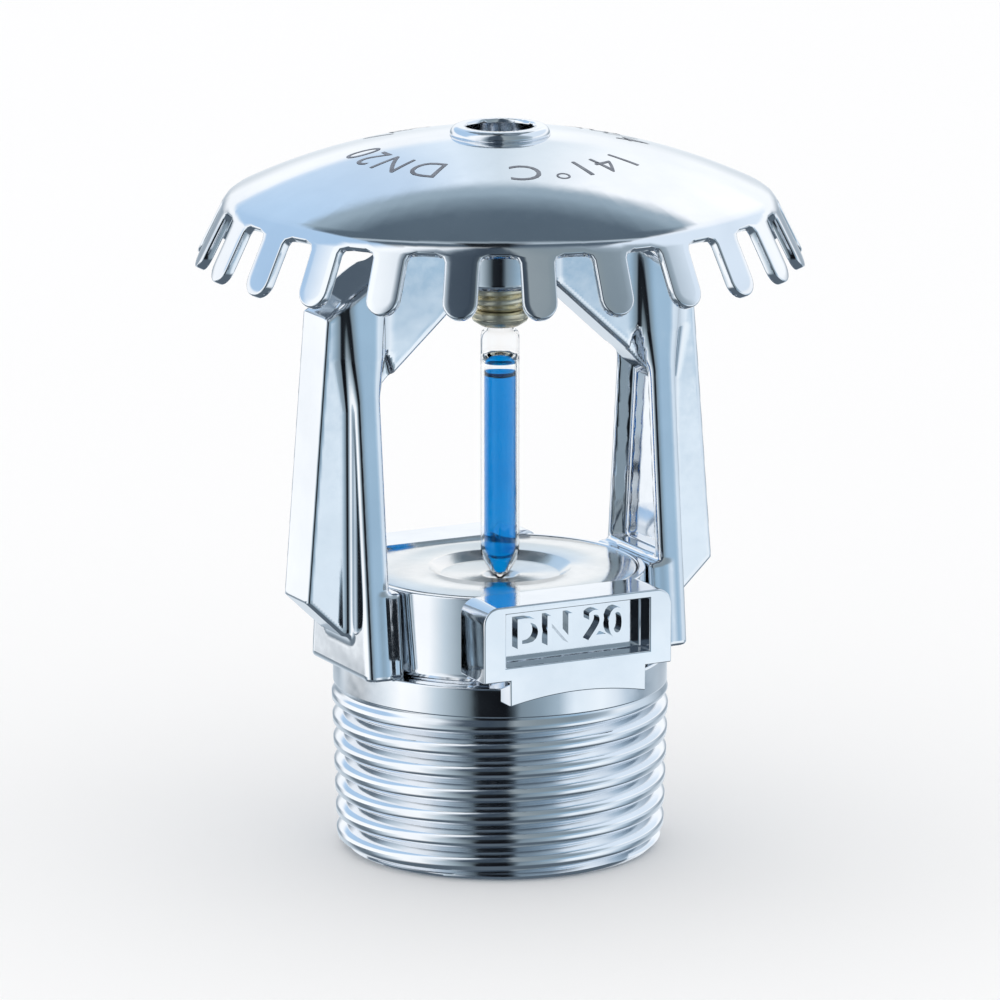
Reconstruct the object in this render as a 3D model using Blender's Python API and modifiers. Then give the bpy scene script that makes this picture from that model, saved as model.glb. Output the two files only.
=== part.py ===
"""Upright glass-bulb fire sprinkler head with a DN20 (R 3/4) inlet.

Metres, +Z up. The origin is the centre of the inlet's end face, the two frame arms stand at -X and +X,
and the two wrench flats face -Y and +Y. The water comes up through the inlet, and the deflector is on top.
"""

import math

import bmesh
import bpy
from mathutils import Matrix, Vector

MM = 0.001

# Inlet thread, R 3/4 (ISO 7-1): 14 threads to the inch, taper 1:16.
THREAD_PITCH = 1.814 * MM
THREAD_MAJOR_RADIUS = 13.22 * MM
THREAD_MAJOR_AT_Z = 15.9 * MM
THREAD_DEPTH = 1.16 * MM
THREAD_TAPER_PER_SIDE = 1 / 32
THREAD_START_Z = -1.61 * MM
THREAD_TURNS = 8
THREAD_STEPS = 40
INLET_CHAMFER_RADIUS = 11.9 * MM

# Collar above the thread, and the boss that carries the arms and the wrench flats.
COLLAR_RADIUS = 13.4 * MM
COLLAR_BOTTOM_Z = 13.5 * MM
COLLAR_TOP_Z = 14.8 * MM
BOSS_BOTTOM_Z = 16.3 * MM
BOSS_TOP_Z = 21.95 * MM
BOSS_RADIUS = 11.3 * MM
FLAT_Y = 13.27 * MM
FLAT_HALF_WIDTH = 8.03 * MM
FLAT_TOP_Z = 22.15 * MM
FLAT_INNER_Y = 8.0 * MM
TAB_Y = 13.25 * MM
TAB_HALF_WIDTH = 5.8 * MM
TAB_BOTTOM_Z = 14.3 * MM
WINDOW_HALF_WIDTH = 6.15 * MM
WINDOW_BOTTOM_Z = 17.4 * MM
WINDOW_TOP_Z = 21.55 * MM
WINDOW_DEPTH = 2.1 * MM
EDGE_ROUND = 0.35 * MM

# Waterway, K115: a 13.5 mm orifice under the valve seat.
INLET_RADIUS = 8.4 * MM
ORIFICE_RADIUS = 6.75 * MM
SEAT_Z = 19.6 * MM
SEAT_RADIUS = 8.7 * MM
CAP_POCKET_Z = 20.85 * MM
CAP_POCKET_RADIUS = 10.75 * MM

# Arms: a plate of rib and web in the X-Z plane, crossed by a flange that narrows upwards.
ARM_THICKNESS = 4.27 * MM
RIB_BOTTOM = (17.55 * MM, 21.2 * MM)
RIB_TOP = (15.8 * MM, 43.2 * MM)
RIB_FOOT = (14.5 * MM, 18.3 * MM)
ARM_ROOT_X = 12.6 * MM
TOP_SLOPE = 0.66
WEB_FOOT = (12.3 * MM, 36.75 * MM)
WEB_SLOPE = 0.905
FLANGE_INNER_X = 11.8 * MM
FLANGE_OUTER_X = 13.45 * MM
FLANGE_BOTTOM_HALF_WIDTH = 5.2 * MM
FLANGE_NARROWING = 0.1
FLANGE_BOTTOM_Z = 18.36 * MM
FILLET_X_BOTTOM = 14.5 * MM
FILLET_X_TOP = 13.9 * MM
FOOT_RADIUS = 13.35 * MM
FOOT_HALF_WIDTH = 5.3 * MM
FOOT_TOP_Z = 18.45 * MM
CHANNEL_WIDTH = 4.6 * MM
CHANNEL_FLOOR_X = 13.6 * MM
CHANNEL_BOTTOM_Z = 22.3 * MM
ARCH_X = 14 * MM
ARCH_Z = 38 * MM
ARCH_RADIUS = 3.8 * MM

# Hub, drilled for the load screw, with the spigot and rim that rivet the deflector on.
HUB_RADIUS = 4.2 * MM
HUB_BOTTOM_Z = 44.35 * MM
HUB_SHOULDER_Z = 54.55 * MM
SPIGOT_RADIUS = 3.2 * MM
RIM_RADIUS = 3.87 * MM
RIM_BOTTOM_Z = 56.05 * MM
RIM_TOP_Z = 56.6 * MM
HUB_MOUTH_RADIUS = 2.7 * MM
HUB_MOUTH_Z = 53.2 * MM
HUB_BORE_RADIUS = 2.3 * MM

# Deflector: a pressed dome with 24 teeth, riveted on a few degrees round from the flats.
CROWN_Z = 56.05 * MM
CROWN_RADIUS = 47.6 * MM
KNUCKLE_RADIUS = 1.6 * MM
RIM_RADIUS_AT_ROOT = 21.35 * MM
TOOTH_COUNT = 24
TOOTH_FLARE = math.radians(26.5)
TOOTH_LENGTH = 5.0 * MM
SHEET = 1.2 * MM
DEFLECTOR_HOLE_RADIUS = 3.35 * MM
DEFLECTOR_TURN = math.radians(3.2)
SLOT_HALF_WIDTH = 1.47 * MM
SLOT_CORNER = 0.45 * MM
TIP_ROUND = 1.6 * MM

# Load screw (M4.5 x 0.75, backed out by a 2.5 mm key) and the cup that it pushes on to the bulb.
SCREW_PITCH = 0.75 * MM
SCREW_RADIUS = 2.22 * MM
SCREW_THREAD_DEPTH = 0.36 * MM
SCREW_BOTTOM_Z = 42.35 * MM
SCREW_TOP_Z = 50.9 * MM
SCREW_STEPS = 16
SCREW_SOCKET_RADIUS = 1.3 * MM
SCREW_SOCKET_Z = 43.35 * MM
KEY_ACROSS_FLATS = 2.5 * MM
KEY_DEPTH = 2.4 * MM
CUP_RADIUS = 2.2 * MM
CUP_BOTTOM_Z = 41.0 * MM
CUP_TOP_Z = 42.25 * MM
CUP_SPIGOT_RADIUS = 1.15 * MM
CUP_SPIGOT_Z = 43.2 * MM
CUP_HOLE_RADIUS = 0.95 * MM

# Glass bulb, 3 mm across.
BULB_RADIUS = 1.5 * MM
BULB_WALL = 0.28 * MM
BULB_TIP_Z = 20.95 * MM
BULB_CONE_Z = 22.9 * MM
BULB_SHOULDER_Z = 40.2 * MM
BULB_NECK_Z = 40.9 * MM
BULB_NECK_RADIUS = 0.8 * MM
BULB_TOP_Z = 41.88 * MM
BULB_VENT_RADIUS = 0.12 * MM
LIQUID_GAP = 0.04 * MM
LIQUID_TOP_Z = 37.5 * MM

# Valve: cap, disc spring and the two PTFE films that seal it.
CAP_RADIUS = 10.6 * MM
CAP_TOP_Z = 21.95 * MM
CAP_UNDERSIDE_Z = 20.95 * MM
CAP_RECESS_RADIUS = 5.5 * MM
CAP_RECESS_Z = 21.3 * MM
CAP_DIMPLE_RADIUS = 1.15 * MM
CAP_DIMPLE_Z = 20.85 * MM
CAP_PILOT_RADIUS = 4.5 * MM
CAP_PILOT_Z = 19.95 * MM
SPRING_OUTER_RADIUS = 8.4 * MM
SPRING_INNER_RADIUS = 4.8 * MM
SPRING_BOTTOM_Z = 19.86 * MM
SPRING_SHEET = 0.4 * MM
SPRING_RISE = 0.5 * MM
FILM_SHEET = 0.14 * MM
LOWER_FILM_Z = 19.66 * MM
UPPER_FILM_Z = 20.79 * MM

# The exact solver leaves faces inside the casting, where its arms, channels and hub meet.
CASTING_SOLVER = "MANIFOLD"

parts = bpy.data.collections.new("fire_sprinkler_head")
helpers = bpy.data.collections.new("cutters_and_joined_shapes")


def start_clean():
    """Removes the objects of the scene that the script is run in."""
    for obj in list(bpy.data.objects):
        bpy.data.objects.remove(obj, do_unlink=True)
    bpy.context.scene.collection.children.link(parts)
    bpy.context.scene.collection.children.link(helpers)


def material(name, colour, roughness, metallic, transmission=0.0):
    """A Principled material of one finish."""
    made = bpy.data.materials.new(name)
    made.use_nodes = True
    shader = made.node_tree.nodes["Principled BSDF"]
    shader.inputs["Base Color"].default_value = (*colour, 1)
    shader.inputs["Roughness"].default_value = roughness
    shader.inputs["Metallic"].default_value = metallic
    shader.inputs["Transmission Weight"].default_value = transmission
    return made


def add_object(name, mesh, collection):
    """Links a mesh to the scene as an object of that name. A helper never renders."""
    obj = bpy.data.objects.new(name, mesh)
    collection.objects.link(obj)
    if collection is helpers:
        obj.hide_render = True
        obj.display_type = "WIRE"
    return obj


def turned(name, profiles, steps, collection):
    """A turned solid: each profile is a closed list of (radius, z) that runs down its outer side."""
    mesh = bpy.data.meshes.new(name)
    bm = bmesh.new()
    for profile in profiles:
        points = [bm.verts.new((radius, 0, z)) for radius, z in profile]
        for first, second in zip(points, points[1:] + points[:1]):
            if first.co.x > 0 or second.co.x > 0:
                bm.edges.new((first, second))
    bm.to_mesh(mesh)
    bm.free()
    obj = add_object(name, mesh, collection)
    screw = obj.modifiers.new("turn", "SCREW")
    screw.axis = "Z"
    screw.steps = steps
    screw.render_steps = steps
    screw.use_merge_vertices = True
    screw.merge_threshold = 0.000005
    return obj


def box(name, low, high, collection, rounding=0.0):
    """A block between two corners, with rounded edges if asked."""
    size = Vector(high) - Vector(low)
    centre = (Vector(high) + Vector(low)) / 2
    bpy.ops.mesh.primitive_cube_add(size=1, location=centre)
    obj = bpy.context.object
    mesh = obj.data
    mesh.transform(Matrix.Diagonal((*size, 1)))
    bpy.data.objects.remove(obj)
    obj = add_object(name, mesh, collection)
    obj.location = centre
    if rounding:
        bevel = obj.modifiers.new("round_edges", "BEVEL")
        bevel.width = rounding
        bevel.segments = 2
    return obj


def plate(name, outline, thickness, collection):
    """A flat outline of (x, z) points, given its thickness along Y by Solidify."""
    mesh = bpy.data.meshes.new(name)
    bm = bmesh.new()
    bm.faces.new([bm.verts.new((x, 0, z)) for x, z in outline])
    bm.to_mesh(mesh)
    bm.free()
    obj = add_object(name, mesh, collection)
    solidify = obj.modifiers.new("thickness", "SOLIDIFY")
    solidify.thickness = thickness
    solidify.offset = 0
    return obj


def loft(name, rings, collection):
    """A closed solid through rings of the same number of points, each ring in the same order."""
    bm = bmesh.new()
    loops = [[bm.verts.new(point) for point in ring] for ring in rings]
    for lower, upper in zip(loops, loops[1:]):
        for index in range(len(lower)):
            after = (index + 1) % len(lower)
            bm.faces.new((lower[index], lower[after], upper[after], upper[index]))
    bm.faces.new(reversed(loops[0]))
    bm.faces.new(loops[-1])
    bmesh.ops.recalc_face_normals(bm, faces=bm.faces)
    mesh = bpy.data.meshes.new(name)
    bm.to_mesh(mesh)
    bm.free()
    return add_object(name, mesh, collection)


def helical_ridge(name, section, pitch, turns, steps, taper, reference_z):
    """The raised part of a right-hand thread, as one closed solid wound by a Screw modifier.

    section is its (radius, z) outline at the start, and taper the radius lost for each unit below reference_z.
    """
    winding = turned(name + "_section", [section], steps, helpers)
    screw = winding.modifiers["turn"]
    screw.screw_offset = pitch
    screw.iterations = turns
    graph = bpy.context.evaluated_depsgraph_get()
    mesh = bpy.data.meshes.new_from_object(winding.evaluated_get(graph))
    bpy.data.objects.remove(winding)
    bm = bmesh.new()
    bm.from_mesh(mesh)
    bmesh.ops.holes_fill(bm, edges=bm.edges, sides=len(section))
    bmesh.ops.recalc_face_normals(bm, faces=bm.faces)
    for vert in bm.verts:
        radius = vert.co.xy.length
        narrowed = radius - taper * (reference_z - vert.co.z)
        vert.co.xy *= narrowed / radius
    bm.to_mesh(mesh)
    bm.free()
    return add_object(name, mesh, helpers)


def thread_section(major_radius, depth, pitch, start_z, embedded):
    """Outline of a 55 degree thread form whose root is sunk into the core by the embedded amount."""
    crest = 0.08 * pitch
    root = 0.43 * pitch
    root_radius = major_radius - depth
    return [
        (major_radius, start_z + crest),
        (major_radius, start_z - crest),
        (root_radius, start_z - root),
        (root_radius - embedded, start_z - root),
        (root_radius - embedded, start_z + root),
        (root_radius, start_z + root),
    ]


def boolean(obj, other, operation, solver="EXACT"):
    """Joins or cuts the object with another one."""
    modifier = obj.modifiers.new(f"{operation.lower()}_{other.name}", "BOOLEAN")
    modifier.operation = operation
    modifier.solver = solver
    modifier.object = other


def arc(centre_x, centre_z, radius, start_degrees, end_degrees, count):
    """Points along an arc, both ends included."""
    points = []
    for index in range(count + 1):
        angle = math.radians(start_degrees + (end_degrees - start_degrees) * index / count)
        points.append((centre_x + radius * math.cos(angle), centre_z + radius * math.sin(angle)))
    return points


def finish(obj, finish_material, sharp_degrees=35):
    """Gives the object its material and smooth round faces."""
    obj.data.materials.append(finish_material)
    obj.data.shade_smooth()
    obj.data.set_sharp_from_angle(angle=math.radians(sharp_degrees))
    return obj


def thread_root_radius(z):
    """Radius at the bottom of the inlet thread's groove."""
    return THREAD_MAJOR_RADIUS - THREAD_TAPER_PER_SIDE * (THREAD_MAJOR_AT_Z - z) - THREAD_DEPTH


def top_slope_z(x, y_side=0.0):
    """Height of the arms' sloping top edge."""
    return RIB_TOP[1] + TOP_SLOPE * (RIB_TOP[0] - x) - y_side


def inlet_and_boss():
    """The turned lower part of the casting, still solid."""
    below_end = -0.5 * MM
    thread_top = COLLAR_BOTTOM_Z - 1.4 * MM
    inlet = [
        (0, BOSS_TOP_Z),
        (BOSS_RADIUS, BOSS_TOP_Z),
        (BOSS_RADIUS, BOSS_BOTTOM_Z),
        (COLLAR_RADIUS - 0.8 * MM, BOSS_BOTTOM_Z),
        (COLLAR_RADIUS, COLLAR_TOP_Z),
        (COLLAR_RADIUS, COLLAR_BOTTOM_Z),
        (thread_root_radius(thread_top), thread_top),
        (thread_root_radius(below_end), below_end),
        (0, below_end),
    ]
    return turned("frame", [inlet], THREAD_STEPS, parts)


def hub():
    """The turned hub with its spigot and riveted rim, still solid."""
    profile = [
        (0, RIM_TOP_Z),
        (RIM_RADIUS - 0.3 * MM, RIM_TOP_Z),
        (RIM_RADIUS, RIM_TOP_Z - 0.25 * MM),
        (RIM_RADIUS, RIM_BOTTOM_Z),
        (SPIGOT_RADIUS, RIM_BOTTOM_Z),
        (SPIGOT_RADIUS, HUB_SHOULDER_Z),
        (HUB_RADIUS, HUB_SHOULDER_Z),
        (HUB_RADIUS, HUB_BOTTOM_Z + 0.3 * MM),
        (HUB_RADIUS - 0.3 * MM, HUB_BOTTOM_Z),
        (0, HUB_BOTTOM_Z),
    ]
    return turned("hub", [profile], 32, helpers)


def arm_plate():
    """Rib and web of both arms and the bridge through the hub, as one plate of the arms' thickness."""
    inside_hub = 2.0 * MM
    web_top = WEB_FOOT[1] + WEB_SLOPE * (WEB_FOOT[0] - inside_hub)
    half = [
        (inside_hub, top_slope_z(inside_hub)),
        RIB_TOP,
        RIB_BOTTOM,
        RIB_FOOT,
        (ARM_ROOT_X, RIB_FOOT[1]),
        (ARM_ROOT_X, WEB_FOOT[1]),
        WEB_FOOT,
        (inside_hub, web_top),
    ]
    return plate("arm_plate", half + [(-x, z) for x, z in reversed(half)], ARM_THICKNESS, helpers)


def flange_ring(outer_x, fillet_x, z_of):
    """One section of a flange, as wide as its height asks, tapering to the rib at fillet_x."""
    rib_side = ARM_THICKNESS / 2 - 0.1 * MM
    ring = []
    for x, is_rib in ((FLANGE_INNER_X, False), (outer_x, False), (fillet_x, True)):
        z = z_of(x)
        width = FLANGE_BOTTOM_HALF_WIDTH - FLANGE_NARROWING * (z - RIB_FOOT[1])
        ring.append((x, rib_side if is_rib else width, z))
    return ring + [(x, -y, z) for x, y, z in reversed(ring)]


def flanges():
    """The flange of the right arm, lofted, and its mirror image for the left arm."""
    below_slope = 0.12 * MM
    rings = [
        flange_ring(FLANGE_OUTER_X, FILLET_X_BOTTOM - 0.1 * MM, lambda x: FLANGE_BOTTOM_Z),
        flange_ring(FLANGE_OUTER_X, FILLET_X_BOTTOM, lambda x: RIB_BOTTOM[1]),
        flange_ring(FLANGE_OUTER_X, FILLET_X_TOP, lambda x: top_slope_z(x, below_slope)),
    ]
    obj = loft("arm_flanges", rings, helpers)
    mirror = obj.modifiers.new("left_arm", "MIRROR")
    mirror.use_mirror_merge = False
    return obj


def arm_feet():
    """What carries the flanges down to the collar: a band of it, kept only under the arms."""
    feet = turned(
        "arm_feet",
        [
            [
                (FOOT_RADIUS, FOOT_TOP_Z),
                (FOOT_RADIUS, BOSS_BOTTOM_Z - 0.3 * MM),
                (BOSS_RADIUS - 0.5 * MM, BOSS_BOTTOM_Z - 0.3 * MM),
                (BOSS_RADIUS - 0.5 * MM, FOOT_TOP_Z),
            ]
        ],
        THREAD_STEPS,
        helpers,
    )
    reach = 20 * MM
    kept = box(
        "arm_feet_kept",
        (-reach, -FOOT_HALF_WIDTH, 0),
        (reach, FOOT_HALF_WIDTH, reach),
        helpers,
    )
    boolean(feet, kept, "INTERSECT", CASTING_SOLVER)
    return feet


def channels():
    """The channel down the inner face of both arms, arched at its top where it meets the web."""
    arch = arc(ARCH_X, ARCH_Z, ARCH_RADIUS, 95, 180, 7)
    outline = [(CHANNEL_FLOOR_X, CHANNEL_BOTTOM_Z), (CHANNEL_FLOOR_X, arch[0][1])]
    outline += arch
    outline += [(arch[-1][0], CHANNEL_BOTTOM_Z)]
    obj = plate("arm_channels", outline, CHANNEL_WIDTH, helpers)
    mirror = obj.modifiers.new("left_arm", "MIRROR")
    mirror.use_mirror_merge = False
    return obj


def arms():
    """Both arms: plate and flanges as one, with the channels cut."""
    obj = arm_plate()
    boolean(obj, flanges(), "UNION", CASTING_SOLVER)
    boolean(obj, channels(), "DIFFERENCE", CASTING_SOLVER)
    return obj


def waterway():
    """The hollow from the inlet to the valve seat, and the pocket that the cap lies in."""
    profile = [
        (0, 30 * MM),
        (CAP_POCKET_RADIUS, 30 * MM),
        (CAP_POCKET_RADIUS, CAP_POCKET_Z),
        (SEAT_RADIUS, CAP_POCKET_Z),
        (SEAT_RADIUS, SEAT_Z),
        (ORIFICE_RADIUS, SEAT_Z),
        (ORIFICE_RADIUS, 11 * MM),
        (INLET_RADIUS, 4 * MM),
        (INLET_RADIUS, -3 * MM),
        (0, -3 * MM),
    ]
    return turned("waterway", [profile], THREAD_STEPS, helpers)


def hub_bore():
    """The hole down the hub, wider at its mouth."""
    profile = [
        (0, 60 * MM),
        (HUB_MOUTH_RADIUS, 60 * MM),
        (HUB_MOUTH_RADIUS, HUB_MOUTH_Z),
        (HUB_BORE_RADIUS, HUB_MOUTH_Z - 0.4 * MM),
        (HUB_BORE_RADIUS, HUB_BOTTOM_Z - 5 * MM),
        (0, HUB_BOTTOM_Z - 5 * MM),
    ]
    return turned("hub_bore", [profile], 32, helpers)


def thread_end_trim():
    """What faces the inlet's end off flat at z = 0 and chamfers the first thread."""
    outside = 20 * MM
    rise = THREAD_MAJOR_RADIUS - INLET_CHAMFER_RADIUS + 1 * MM
    profile = [
        (0, 0),
        (INLET_CHAMFER_RADIUS, 0),
        (INLET_CHAMFER_RADIUS + rise, rise * 0.8),
        (outside, rise * 0.8),
        (outside, -6 * MM),
        (0, -6 * MM),
    ]
    return turned("thread_end_trim", [profile], THREAD_STEPS, helpers)


def build_frame(chrome):
    """The casting: threaded inlet, boss with two wrench flats, two arms and the riveted hub."""
    frame = inlet_and_boss()
    section = thread_section(
        THREAD_MAJOR_RADIUS, THREAD_DEPTH, THREAD_PITCH, THREAD_START_Z, 0.4 * MM
    )
    ridge = helical_ridge(
        "inlet_thread",
        section,
        THREAD_PITCH,
        THREAD_TURNS,
        THREAD_STEPS,
        THREAD_TAPER_PER_SIDE,
        THREAD_MAJOR_AT_Z,
    )
    boolean(frame, ridge, "UNION", CASTING_SOLVER)
    for side, name in ((-1, "front"), (1, "back")):
        flat_ends = sorted((side * FLAT_INNER_Y, side * FLAT_Y))
        flat = box(
            f"wrench_flat_{name}",
            (-FLAT_HALF_WIDTH, flat_ends[0], BOSS_BOTTOM_Z),
            (FLAT_HALF_WIDTH, flat_ends[1], FLAT_TOP_Z),
            helpers,
            EDGE_ROUND,
        )
        boolean(frame, flat, "UNION", CASTING_SOLVER)
        tab_ends = sorted((side * FLAT_INNER_Y, side * TAB_Y))
        tab = box(
            f"flat_tab_{name}",
            (-TAB_HALF_WIDTH, tab_ends[0], TAB_BOTTOM_Z),
            (TAB_HALF_WIDTH, tab_ends[1], BOSS_BOTTOM_Z + 0.9 * MM),
            helpers,
        )
        boolean(frame, tab, "UNION", CASTING_SOLVER)
    for joined in (arm_feet(), arms(), hub()):
        boolean(frame, joined, "UNION", CASTING_SOLVER)
    for side, name in ((-1, "front"), (1, "back")):
        window_ends = sorted((side * (FLAT_Y - WINDOW_DEPTH), side * (FLAT_Y + WINDOW_DEPTH)))
        window = box(
            f"flat_window_{name}",
            (-WINDOW_HALF_WIDTH, window_ends[0], WINDOW_BOTTOM_Z),
            (WINDOW_HALF_WIDTH, window_ends[1], WINDOW_TOP_Z),
            helpers,
        )
        boolean(frame, window, "DIFFERENCE", CASTING_SOLVER)
    for cutter in (waterway(), hub_bore(), thread_end_trim()):
        boolean(frame, cutter, "DIFFERENCE", CASTING_SOLVER)
    return finish(frame, chrome)


def dome_line(offset, crown_count, knuckle_count):
    """Section of the dome from its hole to the tooth tips, at that depth under the outer skin."""
    crown_centre = CROWN_Z - CROWN_RADIUS
    knuckle_x = RIM_RADIUS_AT_ROOT - KNUCKLE_RADIUS * math.cos(TOOTH_FLARE)
    knuckle_z = crown_centre + math.sqrt((CROWN_RADIUS - KNUCKLE_RADIUS) ** 2 - knuckle_x**2)
    joint = math.degrees(math.atan2(knuckle_z - crown_centre, knuckle_x))
    radius = CROWN_RADIUS - offset
    hole = math.degrees(math.acos(DEFLECTOR_HOLE_RADIUS / radius))
    crown = arc(0, crown_centre, radius, hole, joint, crown_count)
    knuckle = arc(
        knuckle_x,
        knuckle_z,
        KNUCKLE_RADIUS - offset,
        joint,
        math.degrees(TOOTH_FLARE),
        knuckle_count,
    )
    root = knuckle[-1]
    tip = (
        root[0] + TOOTH_LENGTH * math.sin(TOOTH_FLARE),
        root[1] - TOOTH_LENGTH * math.cos(TOOTH_FLARE),
    )
    return crown + knuckle[1:] + [tip]


def slot_cutter(name, first, tip, root_z):
    """Every second gap between the teeth, each rounding the tips on its two sides."""
    radial_from = 19.6 * MM
    radial_to = 26 * MM
    half_pitch = math.pi * tip[0] / TOOTH_COUNT
    low_z = tip[1] - 1 * MM
    tip_edge = SLOT_HALF_WIDTH + TIP_ROUND
    side = [(tip_edge, low_z)]
    side += arc(tip_edge, tip[1] + TIP_ROUND, TIP_ROUND, 270, 180, 5)
    side += arc(SLOT_HALF_WIDTH - SLOT_CORNER, root_z - SLOT_CORNER, SLOT_CORNER, 0, 90, 3)
    side = [(min(x, half_pitch - 0.01 * MM), z) for x, z in side]
    outline = side + [(-x, z) for x, z in reversed(side)]
    bm = bmesh.new()
    for index in range(first, TOOTH_COUNT, 2):
        turn = Matrix.Rotation(math.tau * index / TOOTH_COUNT + DEFLECTOR_TURN, 4, "Z")
        face = bm.faces.new([bm.verts.new(turn @ Vector((x, -radial_from, z))) for x, z in outline])
        out = turn @ Vector((0, radial_from - radial_to, 0))
        grown = bmesh.ops.extrude_face_region(bm, geom=[face], use_keep_orig=True)
        moved = [item for item in grown["geom"] if isinstance(item, bmesh.types.BMVert)]
        bmesh.ops.translate(bm, verts=moved, vec=out)
    bmesh.ops.recalc_face_normals(bm, faces=bm.faces)
    mesh = bpy.data.meshes.new(name)
    bm.to_mesh(mesh)
    bm.free()
    return add_object(name, mesh, helpers)


def build_deflector(chrome):
    """The dome, pressed from sheet, with its teeth bent down and outwards."""
    outer = dome_line(0, 7, 3)
    inner = dome_line(SHEET, 5, 2)
    deflector = turned("deflector", [outer + inner[::-1]], 3 * TOOTH_COUNT, parts)
    root_z = outer[-2][1] + 0.15 * MM
    for first, name in ((0, "even_slots"), (1, "odd_slots")):
        boolean(deflector, slot_cutter(name, first, outer[-1], root_z), "DIFFERENCE")
    return finish(deflector, chrome)


def key_socket():
    """The hexagon socket in the top of the load screw."""
    corner_radius = KEY_ACROSS_FLATS / math.sqrt(3)
    bpy.ops.mesh.primitive_cylinder_add(vertices=6, radius=corner_radius, depth=2 * KEY_DEPTH)
    made = bpy.context.object
    mesh = made.data
    bpy.data.objects.remove(made)
    socket = add_object("key_socket", mesh, helpers)
    socket.location.z = SCREW_TOP_Z
    return socket


def build_load_screw(brass, turning_axis):
    """The screw that loads the bulb, with its lower end bored for the cup's spigot."""
    core_radius = SCREW_RADIUS - SCREW_THREAD_DEPTH
    profile = [
        (0, SCREW_TOP_Z),
        (core_radius - 0.3 * MM, SCREW_TOP_Z),
        (core_radius, SCREW_TOP_Z - 0.3 * MM),
        (core_radius, SCREW_BOTTOM_Z + 0.05 * MM),
        (core_radius - 0.05 * MM, SCREW_BOTTOM_Z),
        (SCREW_SOCKET_RADIUS, SCREW_BOTTOM_Z),
        (SCREW_SOCKET_RADIUS, SCREW_SOCKET_Z),
        (0, SCREW_SOCKET_Z),
    ]
    screw = turned("load_screw", [profile], SCREW_STEPS, parts)
    first_turn_z = SCREW_BOTTOM_Z + 0.5 * SCREW_PITCH
    turns = math.floor((SCREW_TOP_Z - SCREW_BOTTOM_Z) / SCREW_PITCH) - 1
    section = thread_section(
        SCREW_RADIUS, SCREW_THREAD_DEPTH, SCREW_PITCH, first_turn_z, 0.2 * MM
    )
    ridge = helical_ridge(
        "load_screw_thread", section, SCREW_PITCH, turns, SCREW_STEPS, 0.0, 0.0
    )
    boolean(screw, ridge, "UNION")
    boolean(screw, key_socket(), "DIFFERENCE")
    screw.parent = turning_axis
    return finish(screw, brass)


def build_bulb_cup(brass, turning_axis):
    """The cup between the screw and the glass. It rises and falls with the screw, but doesn't turn."""
    profile = [
        (0, CUP_SPIGOT_Z),
        (CUP_SPIGOT_RADIUS, CUP_SPIGOT_Z),
        (CUP_SPIGOT_RADIUS, CUP_TOP_Z),
        (CUP_RADIUS, CUP_TOP_Z),
        (CUP_RADIUS, CUP_BOTTOM_Z + 0.65 * MM),
        (CUP_RADIUS - 0.75 * MM, CUP_BOTTOM_Z),
        (CUP_HOLE_RADIUS, CUP_BOTTOM_Z),
        (CUP_HOLE_RADIUS, BULB_TOP_Z + 0.12 * MM),
        (0, BULB_TOP_Z + 0.12 * MM),
    ]
    cup = turned("bulb_cup", [profile], 24, parts)
    cup.parent = turning_axis
    return finish(cup, brass)


def bulb_line(inset):
    """Outline of the bulb from its neck down to its tip, at that depth inside the glass."""
    lower = inset * 1.6
    return [
        (BULB_NECK_RADIUS - inset, BULB_TOP_Z - inset),
        (BULB_NECK_RADIUS - inset, BULB_NECK_Z - inset * 0.4),
        (BULB_RADIUS - 0.12 * MM - inset, BULB_SHOULDER_Z + 0.45 * MM - inset),
        (BULB_RADIUS - inset, BULB_SHOULDER_Z - inset),
        (BULB_RADIUS - inset, BULB_CONE_Z + lower),
        (BULB_RADIUS - 0.35 * MM - inset, BULB_CONE_Z - 0.75 * MM + lower),
        (0.55 * MM - inset * 0.6, BULB_TIP_Z + 0.45 * MM + lower),
    ]


def build_glass_bulb(glass):
    """The glass shell, left open by a pinhole at its sealing nib so that its hollow isn't sealed in."""
    outer = bulb_line(0)
    inner = bulb_line(BULB_WALL)
    profile = [(BULB_VENT_RADIUS, BULB_TOP_Z)]
    profile += outer
    profile += [(0.4 * MM, BULB_TIP_Z), (0, BULB_TIP_Z), (0, inner[-1][1])]
    profile += inner[::-1]
    profile += [(BULB_VENT_RADIUS, inner[0][1])]
    bulb = turned("glass_bulb", [profile], 24, parts)
    return finish(bulb, glass)


def build_bulb_liquid(liquid):
    """The liquid that fills the bulb up to its bubble."""
    line = bulb_line(BULB_WALL + LIQUID_GAP)
    body = [(radius, z) for radius, z in line if z < LIQUID_TOP_Z]
    profile = [(0, LIQUID_TOP_Z - 0.2 * MM), (body[0][0] * 0.6, LIQUID_TOP_Z - 0.12 * MM)]
    profile += [(body[0][0], LIQUID_TOP_Z)]
    profile += body
    profile += [(0, body[-1][1])]
    return finish(turned("bulb_liquid", [profile], 24, parts), liquid)


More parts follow.
